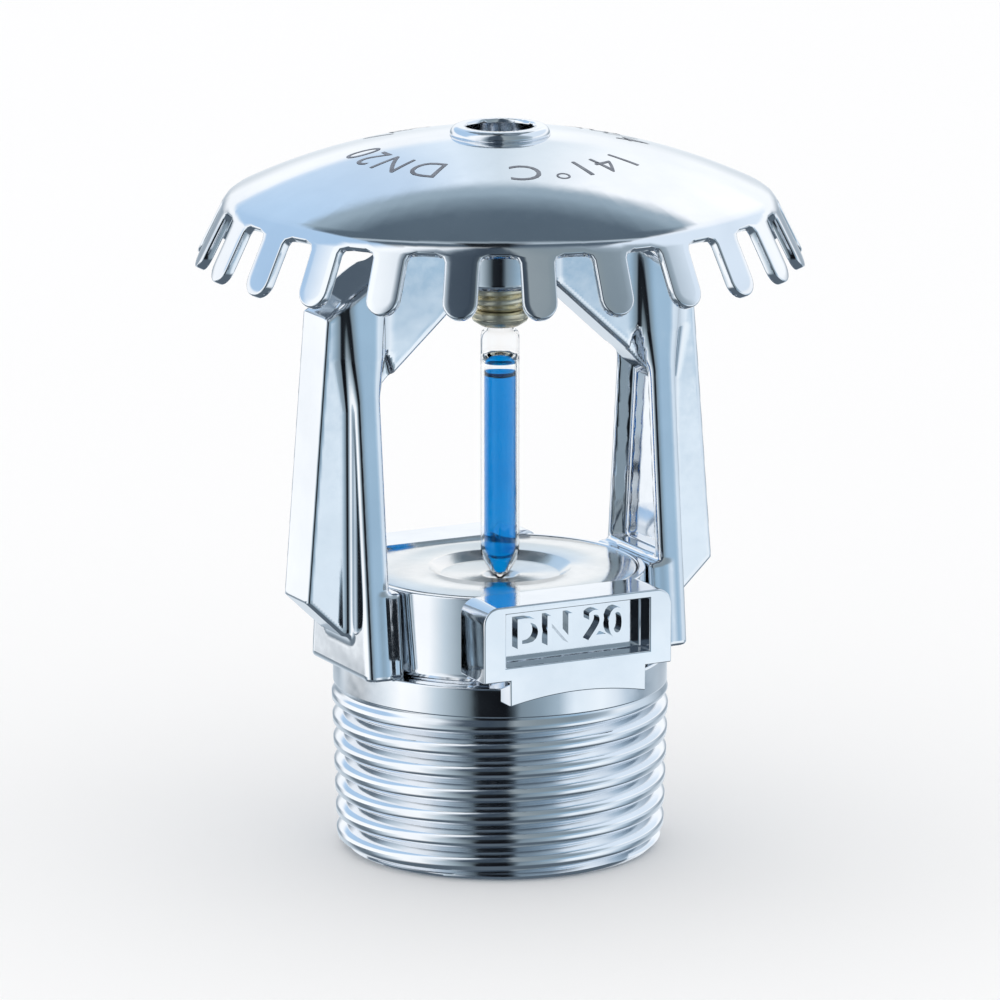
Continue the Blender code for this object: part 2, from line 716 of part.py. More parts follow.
def build_valve_cap(nickel):
    """The cap that closes the outlet, with a shallow recess and a seat for the bulb's tip."""
    profile = [
        (0, CAP_DIMPLE_Z),
        (CAP_DIMPLE_RADIUS - 0.3 * MM, CAP_DIMPLE_Z),
        (CAP_DIMPLE_RADIUS, CAP_RECESS_Z),
        (CAP_RECESS_RADIUS - 0.2 * MM, CAP_RECESS_Z),
        (CAP_RECESS_RADIUS, CAP_TOP_Z),
        (CAP_RADIUS - 0.15 * MM, CAP_TOP_Z),
        (CAP_RADIUS, CAP_TOP_Z - 0.15 * MM),
        (CAP_RADIUS, CAP_UNDERSIDE_Z),
        (CAP_PILOT_RADIUS, CAP_UNDERSIDE_Z),
        (CAP_PILOT_RADIUS - 0.2 * MM, CAP_PILOT_Z),
        (0, CAP_PILOT_Z),
    ]
    return finish(turned("valve_cap", [profile], THREAD_STEPS, parts), nickel)


def build_disc_spring(steel):
    """The coned spring washer that keeps the seal loaded and kicks the cap off."""
    profile = [
        (SPRING_INNER_RADIUS, SPRING_BOTTOM_Z + SPRING_RISE + SPRING_SHEET),
        (SPRING_OUTER_RADIUS, SPRING_BOTTOM_Z + SPRING_SHEET),
        (SPRING_OUTER_RADIUS, SPRING_BOTTOM_Z),
        (SPRING_INNER_RADIUS, SPRING_BOTTOM_Z + SPRING_RISE),
    ]
    return finish(turned("disc_spring", [profile], THREAD_STEPS, parts), steel)


def build_film(name, inner_radius, outer_radius, z, ptfe):
    """A ring of PTFE film on one face of the disc spring."""
    profile = [
        (outer_radius, z + FILM_SHEET),
        (outer_radius, z),
        (inner_radius, z),
        (inner_radius, z + FILM_SHEET),
    ]
    return finish(turned(name, [profile], THREAD_STEPS, parts), ptfe)


def main():
    start_clean()
    chrome = material("chrome_plate", (0.86, 0.88, 0.9), 0.07, 1.0)
    brass = material("screw_brass", (0.68, 0.6, 0.4), 0.32, 1.0)
    glass = material("bulb_glass", (0.95, 0.98, 1.0), 0.02, 0.0, 1.0)
    liquid = material("blue_liquid", (0.02, 0.28, 0.72), 0.05, 0.0, 0.6)
    nickel = material("satin_nickel", (0.82, 0.82, 0.8), 0.25, 1.0)
    steel = material("spring_steel", (0.55, 0.56, 0.58), 0.3, 1.0)
    ptfe = material("ptfe", (0.93, 0.93, 0.9), 0.5, 0.0)
    screw_axis = bpy.data.objects.new("load_screw_axis", None)
    parts.objects.link(screw_axis)
    build_frame(chrome)
    build_deflector(chrome)
    build_load_screw(brass, screw_axis)
    build_bulb_cup(brass, screw_axis)
    build_glass_bulb(glass)
    build_bulb_liquid(liquid)
    build_valve_cap(nickel)
    build_disc_spring(steel)
    build_film("ptfe_seal_upper", SPRING_INNER_RADIUS, 6.1 * MM, UPPER_FILM_Z, ptfe)
    build_film("ptfe_seal_lower", 7.0 * MM, 8.55 * MM, LOWER_FILM_Z, ptfe)


main()
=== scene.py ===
"""Looks of an upright glass-bulb fire sprinkler head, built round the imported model.

Lengths are in millimetres until a mesh is made, and the scene is in metres. The arms and the hub are sculpted
as a signed distance field, so that they run into each other with a casting's soft fillets.
"""

import math

import bmesh
import bpy
import numpy as np
from mathutils import Matrix, Vector


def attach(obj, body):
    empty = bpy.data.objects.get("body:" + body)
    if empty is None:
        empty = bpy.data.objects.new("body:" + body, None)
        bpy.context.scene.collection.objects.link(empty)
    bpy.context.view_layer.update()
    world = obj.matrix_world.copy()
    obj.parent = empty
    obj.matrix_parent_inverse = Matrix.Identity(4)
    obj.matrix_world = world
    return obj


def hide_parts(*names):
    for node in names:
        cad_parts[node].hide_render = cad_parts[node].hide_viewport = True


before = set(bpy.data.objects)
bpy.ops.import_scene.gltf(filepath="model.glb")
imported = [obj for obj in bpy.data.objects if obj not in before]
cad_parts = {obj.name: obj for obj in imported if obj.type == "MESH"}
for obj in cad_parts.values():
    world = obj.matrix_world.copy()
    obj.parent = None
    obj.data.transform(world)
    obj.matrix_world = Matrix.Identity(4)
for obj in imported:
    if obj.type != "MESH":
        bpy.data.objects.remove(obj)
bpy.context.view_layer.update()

MM = 0.001

# Arms: points are (x, z), and half widths are along y
RIB_HALF = 2.135
RIB_TOP = (15.8, 43.2)
RIB_BOTTOM = (17.55, 21.2)
RIB_FOOT = (14.5, 18.3)
RIB_ROUNDING = 0.33
TOP_SLOPE = 0.66
WEB_FOOT = (11.8, 36.95)
WEB_SLOPE = 0.905
WEB_END_X = -2
FLANGE_INNER_X = 11.6
FLANGE_OUTER_X = 13.85
FLANGE_BOTTOM_Z = 15.2
FLANGE_HALF = 2.8
FLANGE_HALF_Z = 40
FLANGE_SPREAD = 0.1
FLANGE_SIDE_SCALE = 0.995
FLANGE_WALL = 0.75
FLANGE_ROOT_X = (10.75, 12.6)
FLANGE_FILLET = 0.75
CROTCH_FILLET = 0.9
CROTCH_Z = (36, 40)

# Channel down the inner face of an arm: a groove with draft, and the scoop where it runs out into the web
CHANNEL_DRAFT = 0.34
CHANNEL_SIDE_SCALE = 0.94
GROOVE_OUTLINE = [(12.85, 22.35), (12.85, 35.9), (11.6, 36.9), (10.15, 38.2), (10.15, 22.35)]
SCOOP_CENTRE = (14, 38)
SCOOP_RADIUS = 3.85
SCOOP_FLOOR_Y = 1.6
CHANNEL_ROUNDING = 0.3

# Hub
HUB_RADIUS = 4.2
HUB_Z = (44.35, 54.55)
HUB_CHAMFER = 0.3
SPIGOT_RADIUS = 3.25
RIM_RADIUS = 3.87
RIM_Z = (55.9, 56.6)
RIM_ROUNDING = 0.6
MOUTH_RADIUS = 2.7
SCREW_BORE_RADIUS = 2.3
PAST_AXIS = -5
CASTING_CELL = 0.2

# Collar, boss and wrench flats
COLLAR_RADIUS = 13.0
COLLAR_Z = 13.0
COLLAR_TOP_Z = 15.35
BOSS_Z = 16.3
BOSS_TOP_Z = 21.95
BOSS_RADIUS = 11.3
FLAT_Y = 13.27
FLAT_BACK_Y = 9.2
FLAT_HALF_WIDTH = 8.03
FLAT_TOP_Z = 22.15
FLAT_CORNER = 1.25
TAB_HALF_WIDTH = 5.8
TAB_CENTRE_Z = 14.9
WINDOW_HALF_WIDTH = 6.15
WINDOW_Z = (17.4, 21.55)
WINDOW_FLOOR_Y = 11.57
ORIFICE_RADIUS = 6.75
SEAT_Z = 19.6
SEAT_RADIUS = 8.7
CAP_POCKET_RADIUS = 10.68
CAP_POCKET_Z = 20.85

# Inlet thread
PITCH = 1.814
THREAD_MAJOR_RADIUS = 13.22
THREAD_MAJOR_Z = 15.9
THREAD_DEPTH = 0.86
CREST_SHARE = 0.3
TAPER = 1 / 32
FIRST_CREST_Z = 1.43
CREST_TURN = math.radians(243.2)
START_CHAMFER_RADIUS = 11.9
START_CHAMFER_SLOPE = 1.1
RUN_OUT = 0.75
INLET_RADIUS = 8.4
INLET_DEPTH = 4

# Deflector
CROWN_Z = 56.05
CROWN_RADIUS = 47.6
KNUCKLE_RADIUS = 1.6
ROOT_RADIUS = 21.35
FLARE = math.radians(26.5)
TOOTH_LENGTH = 4.95
TOOTH_COUNT = 24
TOOTH_HALF_WIDTH = 1.31
ROOT_CORNER = 0.6
SHEET = 0.8
DEFLECTOR_HOLE = 3.35
DEFLECTOR_TURN = math.radians(3.2)
TOOTH_EDGE = 0.16

# Load screw
SCREW_RADIUS = 2.22
SCREW_THREAD_DEPTH = 0.36
SCREW_PITCH = 0.75
SCREW_Z = (42.35, 50.9)
SCREW_CHAMFER = 0.42
SOCKET_HALF = 1.25
SOCKET_Z = 48.55
CUP_HOLE_RADIUS = 1.3
CUP_HOLE_Z = 43.35

# Bulb: the cavity starts under solid glass, and a bubble parts the liquid
BULB_RADIUS = 1.5
NIB_RADIUS = 0.8
GLASS_WALL = 0.26
LIQUID_INSET = 0.262
BULB_TOP_Z = 41.88

# Markings
FLAT_MARK = "DN 20"
FLAT_MARK_SIZE = 3.3
FLAT_MARK_DEPTH = 0.5
DOME_MARKS = (("141°C", -82), ("DN20", -170), ("141°C", 98), ("R3/4", 10))
DOME_MARK_SIZE = 3.9
MARK_RADIUS = 10.5
MARK_LIFT = 0.02
LONGEST_EDGE = 0.45

# Studio: (degrees round from the camera, rightwards positive; sRGB shade as seen in the chrome)
VIEW_AZIMUTH = -26.81
VIEW_ELEVATION = 12.886
VIEW_DISTANCE = 598.45
AIM_Z = 27.15
LENS = 278.3
CHROME_SHARE = 0.86
UNDER_LIGHT = "56616b"
THREAD_LIGHT = [
    (-180, "d5dde4"), (-140, "b4c0ca"), (-126, "67737d"), (-110, "6a7680"), (-98, "a3b1bc"), (-84, "d6dfe5"),
    (-72, "f8f9fa"), (-58, "f1f4f6"), (-46, "c2cfd8"), (-32, "92a1aa"), (-21, "626e75"), (-17, "1b1d21"),
    (6, "15171a"), (10, "3f484f"), (14, "7d8c96"), (28, "8797a2"), (41, "9aabb7"), (48, "d3dee7"),
    (53, "e4edf4"), (74, "e9f0f5"), (87, "dbe4ec"), (99, "aabccb"), (116, "70818f"), (138, "b0bcc6"),
    (180, "e4eaf0"),
]
ARM_LIGHT = [
    (-180, "e4eaef"), (-164, "98a4af"), (-148, "8b97a2"), (-136, "f0f4f7"), (-100, "fafbfc"), (-58, "f4f6f8"),
    (-44, "bccad4"), (-28, "7f8d97"), (-20, "5e6a71"), (-14, "25292d"), (4, "1b1d21"), (9, "48525a"),
    (14, "74838d"), (30, "8fa3b1"), (44, "b9cbd8"), (53, "dce8f1"), (62, "e2ecf3"), (74, "e6eef4"),
    (116, "c0cdd8"), (146, "8f9ba6"), (162, "9ba7b2"), (180, "e4eaef"),
]
WEB_LIGHT = [
    (-180, "e4eaef"), (-164, "98a4af"), (-148, "8b97a2"), (-136, "f6f8fa"), (-100, "fafbfc"), (-58, "f4f6f8"),
    (-40, "a9b7c0"), (-22, "5e6a71"), (-14, "25292d"), (4, "1b1d21"), (9, "48525a"), (14, "74838d"),
    (30, "8298a8"), (44, "8ea9be"), (55, "9ab6cc"), (74, "d2dfea"), (116, "c6d3de"), (146, "8f9ba6"),
    (162, "9ba7b2"), (180, "e4eaef"),
]
WALL_LIGHT = [
    (-180, "f2f7fb"), (-62, "f6f9fb"), (-46, "dfe5ea"), (-36, "8f9ba5"), (-27, "4b5661"), (-8, "3c4651"),
    (4, "465059"), (10, "8d979c"), (28, "828e94"), (52, "7d8b94"), (70, "92a0ab"), (90, "bccad5"),
    (112, "d5e2ee"), (180, "f2f7fb"),
]
# Heights in degrees over which one band of the table gives way to the next, and the table to the walls
UNDER_TO_THREAD = (-42.0, -29.0)
THREAD_TO_ARMS = (-14.5, -13.8)
ARMS_TO_WEBS = (-12.0, -11.3)
TABLE_TO_WALLS = (-2.0, 9.0)
BACK_WALL_TO_SWEEP = (13.0, 18.0)
# Rear sweep, by how far to the right a ray points
SWEEP_LIGHT = [
    (-0.5, "a8c4e0"), (-0.28, "b2cce6"), (-0.12, "c0d3e7"), (-0.05, "d9e6f2"), (0.0, "cdd9e2"),
    (0.05, "dde6ed"), (0.12, "f3f6f9"), (0.28, "fbfcfe"), (0.5, "d6e2ee"),
]
BACK_WALL_LIGHT = "f1f4f7"
# Ceiling board, by how far behind the head a ray meets it, with a darker gap straight overhead
BOARD_LIGHT = [
    (0.0, "505d69"), (0.2, "56636e"), (0.27, "a3b0ba"), (0.37, "a3b0ba"), (0.45, "55626d"), (0.78, "566470"),
    (0.92, "7b8c98"), (1.0, "91a3b0"),
]
BOARD_EDGE = (1.22, 1.06)
BOARD_SIDE = (0.56, 0.46)
GAP_LIGHT = "23272b"
GAP_EDGE = (0.42, 0.3)
GAP_SIDE = (0.12, 0.06)
ROOM_LIGHT = 1.06


# ---------------------------------------------------------------- meshes


def mesh_object(name, points, faces, smooth_degrees=None):
    """A mesh from points in millimetres, with smooth faces and edges sharp above that angle."""
    mesh = bpy.data.meshes.new(name)
    mesh.from_pydata((np.asarray(points, float) * MM).tolist(), [], [list(face) for face in faces])
    mesh.validate()
    mesh.shade_smooth()
    if smooth_degrees:
        mesh.set_sharp_from_angle(angle=math.radians(smooth_degrees))
    return linked(name, mesh)


def turned(name, profile, steps=96, smooth_degrees=40):
    """A turned piece from a closed (radius, z) profile, which may touch the axis."""
    points, rings = [], []
    for radius, z in profile:
        if radius < 1e-6:
            rings.append([len(points)] * steps)
            points.append((0, 0, z))
            continue
        rings.append(list(range(len(points), len(points) + steps)))
        for step in range(steps):
            angle = math.tau * step / steps
            points.append((radius * math.cos(angle), radius * math.sin(angle), z))
    faces = []
    for first, second in zip(rings, rings[1:] + rings[:1]):
        for step in range(steps):
            after = (step + 1) % steps
            corners = [first[step], first[after], second[after], second[step]]
            face = list(dict.fromkeys(corners))
            if len(face) > 2:
                faces.append(face)
    obj = mesh_object(name, points, faces)
    bm = bmesh.new()
    bm.from_mesh(obj.data)
    bmesh.ops.recalc_face_normals(bm, faces=bm.faces)
    bm.to_mesh(obj.data)
    bm.free()
    obj.data.set_sharp_from_angle(angle=math.radians(smooth_degrees))
    return obj


def rounded(obj, width, degrees=35, clamps=True):
    """Rounds the piece's sharp edges."""
    bevel = obj.modifiers.new("rounded_edges", "BEVEL")
    bevel.width = width * MM
    bevel.segments = 3
    bevel.angle_limit = math.radians(degrees)
    bevel.harden_normals = False
    bevel.use_clamp_overlap = clamps
    return obj


def even_faces(obj):
    """Shades large faces flat, so that only the rounded edges bend the light."""
    weigh = obj.modifiers.new("face_normals", "WEIGHTED_NORMAL")
    weigh.keep_sharp = True
    return obj


def absorb(piece, other):
    """Moves the other piece's faces into the first one."""
    bm = bmesh.new()
    bm.from_mesh(piece.data)
    bm.from_mesh(other.data)
    bm.to_mesh(piece.data)
    bm.free()
    bpy.data.objects.remove(other)
    return piece


def linked(name, data):
    """A new object in the scene with that data."""
    obj = bpy.data.objects.new(name, data)
    bpy.context.scene.collection.objects.link(obj)
    return obj


def ring(radius, z, turn):
    """Points round the axis, one for each turn angle."""
    radius, z, turn = np.broadcast_arrays(radius, z, turn)
    return np.stack([radius * np.cos(turn), radius * np.sin(turn), z], axis=1)


def arc(centre, radius, start_degrees, end_degrees, count):
    """Points along an arc in a plane, both ends included."""
    angles = np.radians(np.linspace(start_degrees, end_degrees, count + 1))
    return [(centre[0] + radius * math.cos(a), centre[1] + radius * math.sin(a)) for a in angles]


# ---------------------------------------------------------------- signed distances, in mm


def polygon_distance(x, y, outline):
    """Signed distance in a plane to a closed outline, negative inside."""
    squared = np.full(x.shape, np.inf)
    inside = np.zeros(x.shape, bool)
    corners = np.array(outline, float)
    for start, end in zip(corners, np.roll(corners, -1, axis=0)):
        edge = end - start
        away_x, away_y = x - start[0], y - start[1]
        along = np.clip((away_x * edge[0] + away_y * edge[1]) / (edge @ edge), 0, 1)
        squared = np.minimum(squared, (away_x - edge[0] * along) ** 2 + (away_y - edge[1] * along) ** 2)
        if edge[1] != 0:
            spans = (start[1] > y) != (end[1] > y)
            inside ^= spans & (x < start[0] + away_y * edge[0] / edge[1])
    return np.where(inside, -1, 1) * np.sqrt(squared)


def slab(flat, across, rounding):
    """The solid whose section distance is flat, between the faces where across is 0, with round edges."""
    u, v = flat + rounding, across + rounding
    return np.minimum(np.maximum(u, v), 0) + np.hypot(np.maximum(u, 0), np.maximum(v, 0)) - rounding


def melt(a, b, width):
    """The union of two solids, with a fillet about that wide where they meet."""
    near = np.maximum(width - np.abs(a - b), 0) / width
    return np.minimum(a, b) - near * near * width / 4


def carve(a, b, width):
    """The first solid without the second, with its new edges rounded about that wide."""
    return -melt(-a, b, width)


def keep(a, b, width):
    """What both solids hold, with rounded edges."""
    return -melt(-a, -b, width)


def flange_distance(x, y, z, half_width):
    """The flange between web and rib, with the root that joins it to the boss."""
    side = (y - half_width) * FLANGE_SIDE_SCALE
    top = RIB_TOP[1] + TOP_SLOPE * RIB_TOP[0]
    flange = keep(FLANGE_INNER_X - x, x - FLANGE_OUTER_X, 0.4)
    flange = keep(flange, side, 0.7)
    flange = keep(flange, (z - top + TOP_SLOPE * x + 0.1) / math.hypot(1, TOP_SLOPE), 0.6)
    root = keep(FLANGE_ROOT_X[0] - x, x - FLANGE_ROOT_X[1], 0.1)
    root = keep(root, side, 0.5)
    root = keep(root, z - BOSS_TOP_Z + 0.05, 0.3)
    return keep(melt(flange, root, 0.3), FLANGE_BOTTOM_Z - z, 0.4)


def channel_distance(x, y, z, half_width):
    """The channel between the flange's walls."""
    inside = (y - half_width + FLANGE_WALL + CHANNEL_DRAFT * (x - FLANGE_INNER_X)) * CHANNEL_SIDE_SCALE
    scoop_outline = [(12.85, 30)] + arc(SCOOP_CENTRE, SCOOP_RADIUS, 107, 180, 10) + [(10.15, 30)]
    scoop_across = np.maximum(inside, SCOOP_FLOOR_Y - y)
    groove = slab(polygon_distance(x, z, GROOVE_OUTLINE), inside, CHANNEL_ROUNDING)
    scoop = slab(polygon_distance(x, z, scoop_outline), scoop_across, CHANNEL_ROUNDING)
    return np.minimum(groove, scoop)


def arm_distance(x, y, z):
    """Rib, web and flange of an arm, with the channel down its inner face."""
    top = RIB_TOP[1] + TOP_SLOPE * RIB_TOP[0]
    web_top = WEB_FOOT[1] + WEB_SLOPE * WEB_FOOT[0]
    outline = [(WEB_END_X, top), (0, top), RIB_TOP, RIB_BOTTOM, RIB_FOOT]
    outline += [(WEB_FOOT[0], RIB_FOOT[1]), WEB_FOOT, (0, web_top), (WEB_END_X, web_top)]
    plate = slab(polygon_distance(x, z, outline), y - RIB_HALF, RIB_ROUNDING)
    half_width = FLANGE_HALF + FLANGE_SPREAD * (FLANGE_HALF_Z - z)
    crotch = np.clip((z - CROTCH_Z[0]) / (CROTCH_Z[1] - CROTCH_Z[0]), 0, 1)
    arm = melt(plate, flange_distance(x, y, z, half_width), FLANGE_FILLET + CROTCH_FILLET * crotch)
    return carve(arm, channel_distance(x, y, z, half_width), 0.15)


def hub_distance(x, y, z):
    """The hub with its spigot and riveted rim."""
    radius = np.hypot(x, y)
    profile = [(PAST_AXIS, HUB_Z[0]), (HUB_RADIUS - HUB_CHAMFER, HUB_Z[0])]
    profile += [(HUB_RADIUS, HUB_Z[0] + HUB_CHAMFER), (HUB_RADIUS, HUB_Z[1])]
    profile += [(SPIGOT_RADIUS, HUB_Z[1]), (SPIGOT_RADIUS, RIM_Z[0])]
    profile.append((RIM_RADIUS, RIM_Z[0]))
    profile += arc((RIM_RADIUS - 0.62, RIM_Z[1] - RIM_ROUNDING), RIM_ROUNDING, 5, 85, 8)
    profile.append((PAST_AXIS, RIM_Z[1]))
    return polygon_distance(radius, z, profile)


def hollow_distance(x, y, z):
    """The cap pocket below, and the screw's bore above."""
    radius = np.hypot(x, y)
    below = [(PAST_AXIS, 0), (CAP_POCKET_RADIUS, 0), (CAP_POCKET_RADIUS, 27), (PAST_AXIS, 27)]
    above = [(PAST_AXIS, 40), (SCREW_BORE_RADIUS, 40), (SCREW_BORE_RADIUS, 52.8), (MOUTH_RADIUS, 53.2)]
    above += [(MOUTH_RADIUS, 60), (PAST_AXIS, 60)]
    return np.minimum(polygon_distance(radius, z, below), polygon_distance(radius, z, above))


def casting_distance(x, y, z):
    """The arms and the hub, symmetric front to back and left to right."""
    x, y = np.abs(x), np.abs(y)
    solid = melt(arm_distance(x, y, z), hub_distance(x, y, z), 0.7)
    return carve(solid, hollow_distance(x, y, z), 0.05)


def gradient(distance, points, step=0.004):
    """Unit normals of the distance field at those points."""
    parts = []
    for axis in range(3):
        offset = np.zeros(3)
        offset[axis] = step
        ahead = distance(*(points + offset).T)
        behind = distance(*(points - offset).T)
        parts.append((ahead - behind) / (2 * step))
    found = np.stack(parts, axis=1)
    length = np.linalg.norm(found, axis=1, keepdims=True)
    return found / np.maximum(length, 1e-6)


def dual_contour(distance, low, high, cell):
    """Quads on the surface where the distance is 0, over x >= 0 and y >= 0, as (points, faces).

    Each cell's point is the one nearest to the tangent planes where the surface crosses the cell's edges,
    so it sits on a sharp edge wherever there is one.
    """
    start = np.array([-0.5 * cell, -0.5 * cell, low[2]])
    axes = [np.arange(start[i], high[i], cell) for i in range(3)]
    values = distance(*np.meshgrid(*axes, indexing="ij"))
    inside = values < 0
    cells = tuple(n - 1 for n in values.shape)
    total, weight = np.zeros((*cells, 3)), np.zeros(cells)
    square, pull = np.zeros((*cells, 3, 3)), np.zeros((*cells, 3))
    faces = []
    for axis in range(3):
        a, b = [other for other in range(3) if other != axis]
        span = [slice(0, n) for n in values.shape]
        first, second = list(span), list(span)
        first[axis] = slice(0, cells[axis])
        second[axis] = slice(1, cells[axis] + 1)
        node = np.argwhere(inside[tuple(first)] != inside[tuple(second)])
        ahead = node.copy()
        ahead[:, axis] += 1
        near, far = values[tuple(node.T)], values[tuple(ahead.T)]
        where = node.astype(float)
        where[:, axis] += near / (near - far)
        for _ in range(3):
            point = start + where * cell
            slope = gradient(distance, point)[:, axis]
            slope = np.where(np.abs(slope) < 0.2, np.sign(far - near) * 0.2, slope)
            where[:, axis] -= distance(*point.T) / slope / cell
            where[:, axis] = np.clip(where[:, axis], node[:, axis], ahead[:, axis])
        normal = gradient(distance, start + where * cell)
        for back_a in (0, 1):
            for back_b in (0, 1):
                at = node.copy()
                at[:, a] -= back_a
                at[:, b] -= back_b
                fits = (at >= 0).all(axis=1) & (at < np.array(cells)).all(axis=1)
                at, spot, facing = at[fits], where[fits], normal[fits]
                local = spot - at
                index = tuple(at.T)
                np.add.at(total, index, local)
                np.add.at(weight, index, 1)
                np.add.at(square, index, facing[:, :, None] * facing[:, None, :])
                np.add.at(pull, index, facing * (facing * local).sum(axis=1, keepdims=True))
        keeps = (node[:, a] > 0) & (node[:, b] > 0)
        keeps &= (node[:, a] < cells[a]) & (node[:, b] < cells[b])
        corners = []
        for back_a, back_b in ((1, 1), (0, 1), (0, 0), (1, 0)):
            at = node[keeps].copy()
            at[:, a] -= back_a
            at[:, b] -= back_b
            corners.append(at)
        outward = inside[tuple(node[keeps].T)]
        quads = np.stack(corners, axis=1)
        flips = outward == (axis == 1)
        quads[flips] = quads[flips][:, ::-1]
        faces.append(quads)
    used = weight > 0
    index = np.full(cells, -1)
    index[used] = np.arange(used.sum())
    middle = total[used] / weight[used][:, None]
    hold = 0.05
    square = square[used] + hold * np.eye(3)
    pull = pull[used] + hold * middle
    local = np.linalg.solve(square, pull[..., None])[..., 0]
    local = np.clip(local, 0, 1)
    points = start + (np.argwhere(used) + local) * cell
    faces = np.concatenate(faces)
    return points, index[tuple(np.moveaxis(faces, -1, 0))]


def corner_normals(distance, points, faces):
    """The surface's normals a little inside each face's corners, so that they part at a sharp edge."""
    corners = points[faces]
    middles = corners.mean(axis=1, keepdims=True)
    probes = corners + 0.3 * (middles - corners)
    flat = probes.reshape(-1, 3)
    return gradient(distance, flat, 0.09).reshape(probes.shape)


def mirrored(points, faces, normals):
    """The quarter and its mirror images in x and y, joined along the planes between them."""
    points = points.copy()
    points[np.abs(points[:, 0]) < 1e-4, 0] = 0
    points[np.abs(points[:, 1]) < 1e-4, 1] = 0
    all_points, all_faces, all_normals = [], [], []
    for count, signs in enumerate(((1, 1), (-1, 1), (-1, -1), (1, -1))):
        flip = np.array([*signs, 1])
        order = 1 if signs[0] * signs[1] > 0 else -1
        all_points.append(points * flip)
        all_faces.append(faces[:, ::order] + count * len(points))
        all_normals.append(normals[:, ::order] * flip)
    joined = np.concatenate(all_points)
    _, first, where = np.unique(np.round(joined, 5), axis=0, return_index=True, return_inverse=True)
    return joined[first], where.reshape(-1)[np.concatenate(all_faces)], np.concatenate(all_normals)


def build_casting():
    """The arms and the hub as a mesh, with its normals taken from the distance field."""
    cell = CASTING_CELL * 1
    points, faces = dual_contour(casting_distance, (0, 0, 14.6), (18.6, 6.4, 57.4), cell)
    for axis in range(2):
        points[points[:, axis] < 0.499 * cell, axis] = 0
    normals = corner_normals(casting_distance, points, faces)
    points, faces, normals = mirrored(points, faces, normals)
    obj = mesh_object("casting", points, faces)
    if len(obj.data.polygons) == len(faces):
        obj.data.normals_split_custom_set(normals.reshape(-1, 3).tolist())
    return obj


# ---------------------------------------------------------------- turned and pressed pieces


def thread_radius(z, turn, major, depth, pitch, first_crest):
    """Outside radius of a right-hand thread at a height and a turn angle."""
    phase = (z - first_crest) / pitch - turn / math.tau
    away = np.abs(phase - np.round(phase)) * 2
    form = np.clip((away - CREST_SHARE) / (1 - CREST_SHARE), 0, 1)
    return major - depth * form**1.4


def build_boss():
    """Collar and boss, with the waterway, the seat and the cap pocket inside."""
    profile = [(ORIFICE_RADIUS, COLLAR_Z), (COLLAR_RADIUS, COLLAR_Z), (COLLAR_RADIUS, COLLAR_TOP_Z)]
    profile += [(BOSS_RADIUS + 0.35, COLLAR_TOP_Z + 0.1), (BOSS_RADIUS, COLLAR_TOP_Z + 0.45)]
    profile += [(BOSS_RADIUS, BOSS_TOP_Z), (CAP_POCKET_RADIUS, BOSS_TOP_Z), (CAP_POCKET_RADIUS, CAP_POCKET_Z)]
    profile += [(SEAT_RADIUS, CAP_POCKET_Z), (SEAT_RADIUS, SEAT_Z), (ORIFICE_RADIUS, SEAT_Z)]
    return rounded(turned("boss_turned", profile, 160), 0.14, 40)


def extruded(name, outline, side, back_y, front_y):
    """A block with that (x, z) outline between two depths, on the front or the back of the head."""
    bm = bmesh.new()
    ends = [[bm.verts.new((x * MM, side * y * MM, z * MM)) for x, z in outline] for y in (back_y, front_y)]
    bm.faces.new(ends[0])
    bm.faces.new(ends[1])
    for index in range(len(outline)):
        after = (index + 1) % len(outline)
        bm.faces.new((ends[0][index], ends[0][after], ends[1][after], ends[1][index]))
    bmesh.ops.recalc_face_normals(bm, faces=bm.faces)
    mesh = bpy.data.meshes.new(name)
    bm.to_mesh(mesh)
    bm.free()
    return linked(name, mesh)


def build_wrench_flat(name, side):
    """The block that a wrench holds: its window, and its tab whose lower edge follows the collar."""
    edge_x = np.linspace(-1, 1, 25) * TAB_HALF_WIDTH
    edge_drop = 0.5 * (np.hypot(edge_x, FLAT_Y) - FLAT_Y)
    outline = [(-FLAT_HALF_WIDTH, BOSS_Z), (-TAB_HALF_WIDTH, BOSS_Z)]
    outline += list(zip(edge_x.tolist(), (TAB_CENTRE_Z - edge_drop).tolist()))
    outline += [(TAB_HALF_WIDTH, BOSS_Z), (FLAT_HALF_WIDTH, BOSS_Z)]
    for sign, start in ((1, 0), (-1, 90)):
        centre = (sign * (FLAT_HALF_WIDTH - FLAT_CORNER), FLAT_TOP_Z - FLAT_CORNER)
        outline += arc(centre, FLAT_CORNER, start, start + 90, 8)
    low, high = WINDOW_Z
    wide = WINDOW_HALF_WIDTH
    window = [(-wide, low), (wide, low), (wide, high), (-wide, high)]
    block = extruded(name, outline, side, FLAT_BACK_Y, FLAT_Y)
    cutter = extruded(name + "_cutter", window, side, WINDOW_FLOOR_Y, FLAT_Y + 1)
    cut = block.modifiers.new("window", "BOOLEAN")
    cut.operation = "DIFFERENCE"
    cut.object = cutter
    graph = bpy.context.evaluated_depsgraph_get()
    block.data = bpy.data.meshes.new_from_object(block.evaluated_get(graph))
    block.modifiers.clear()
    bpy.data.objects.remove(cutter)
    block.data.shade_smooth()
    return even_faces(rounded(block, 0.2, 40))


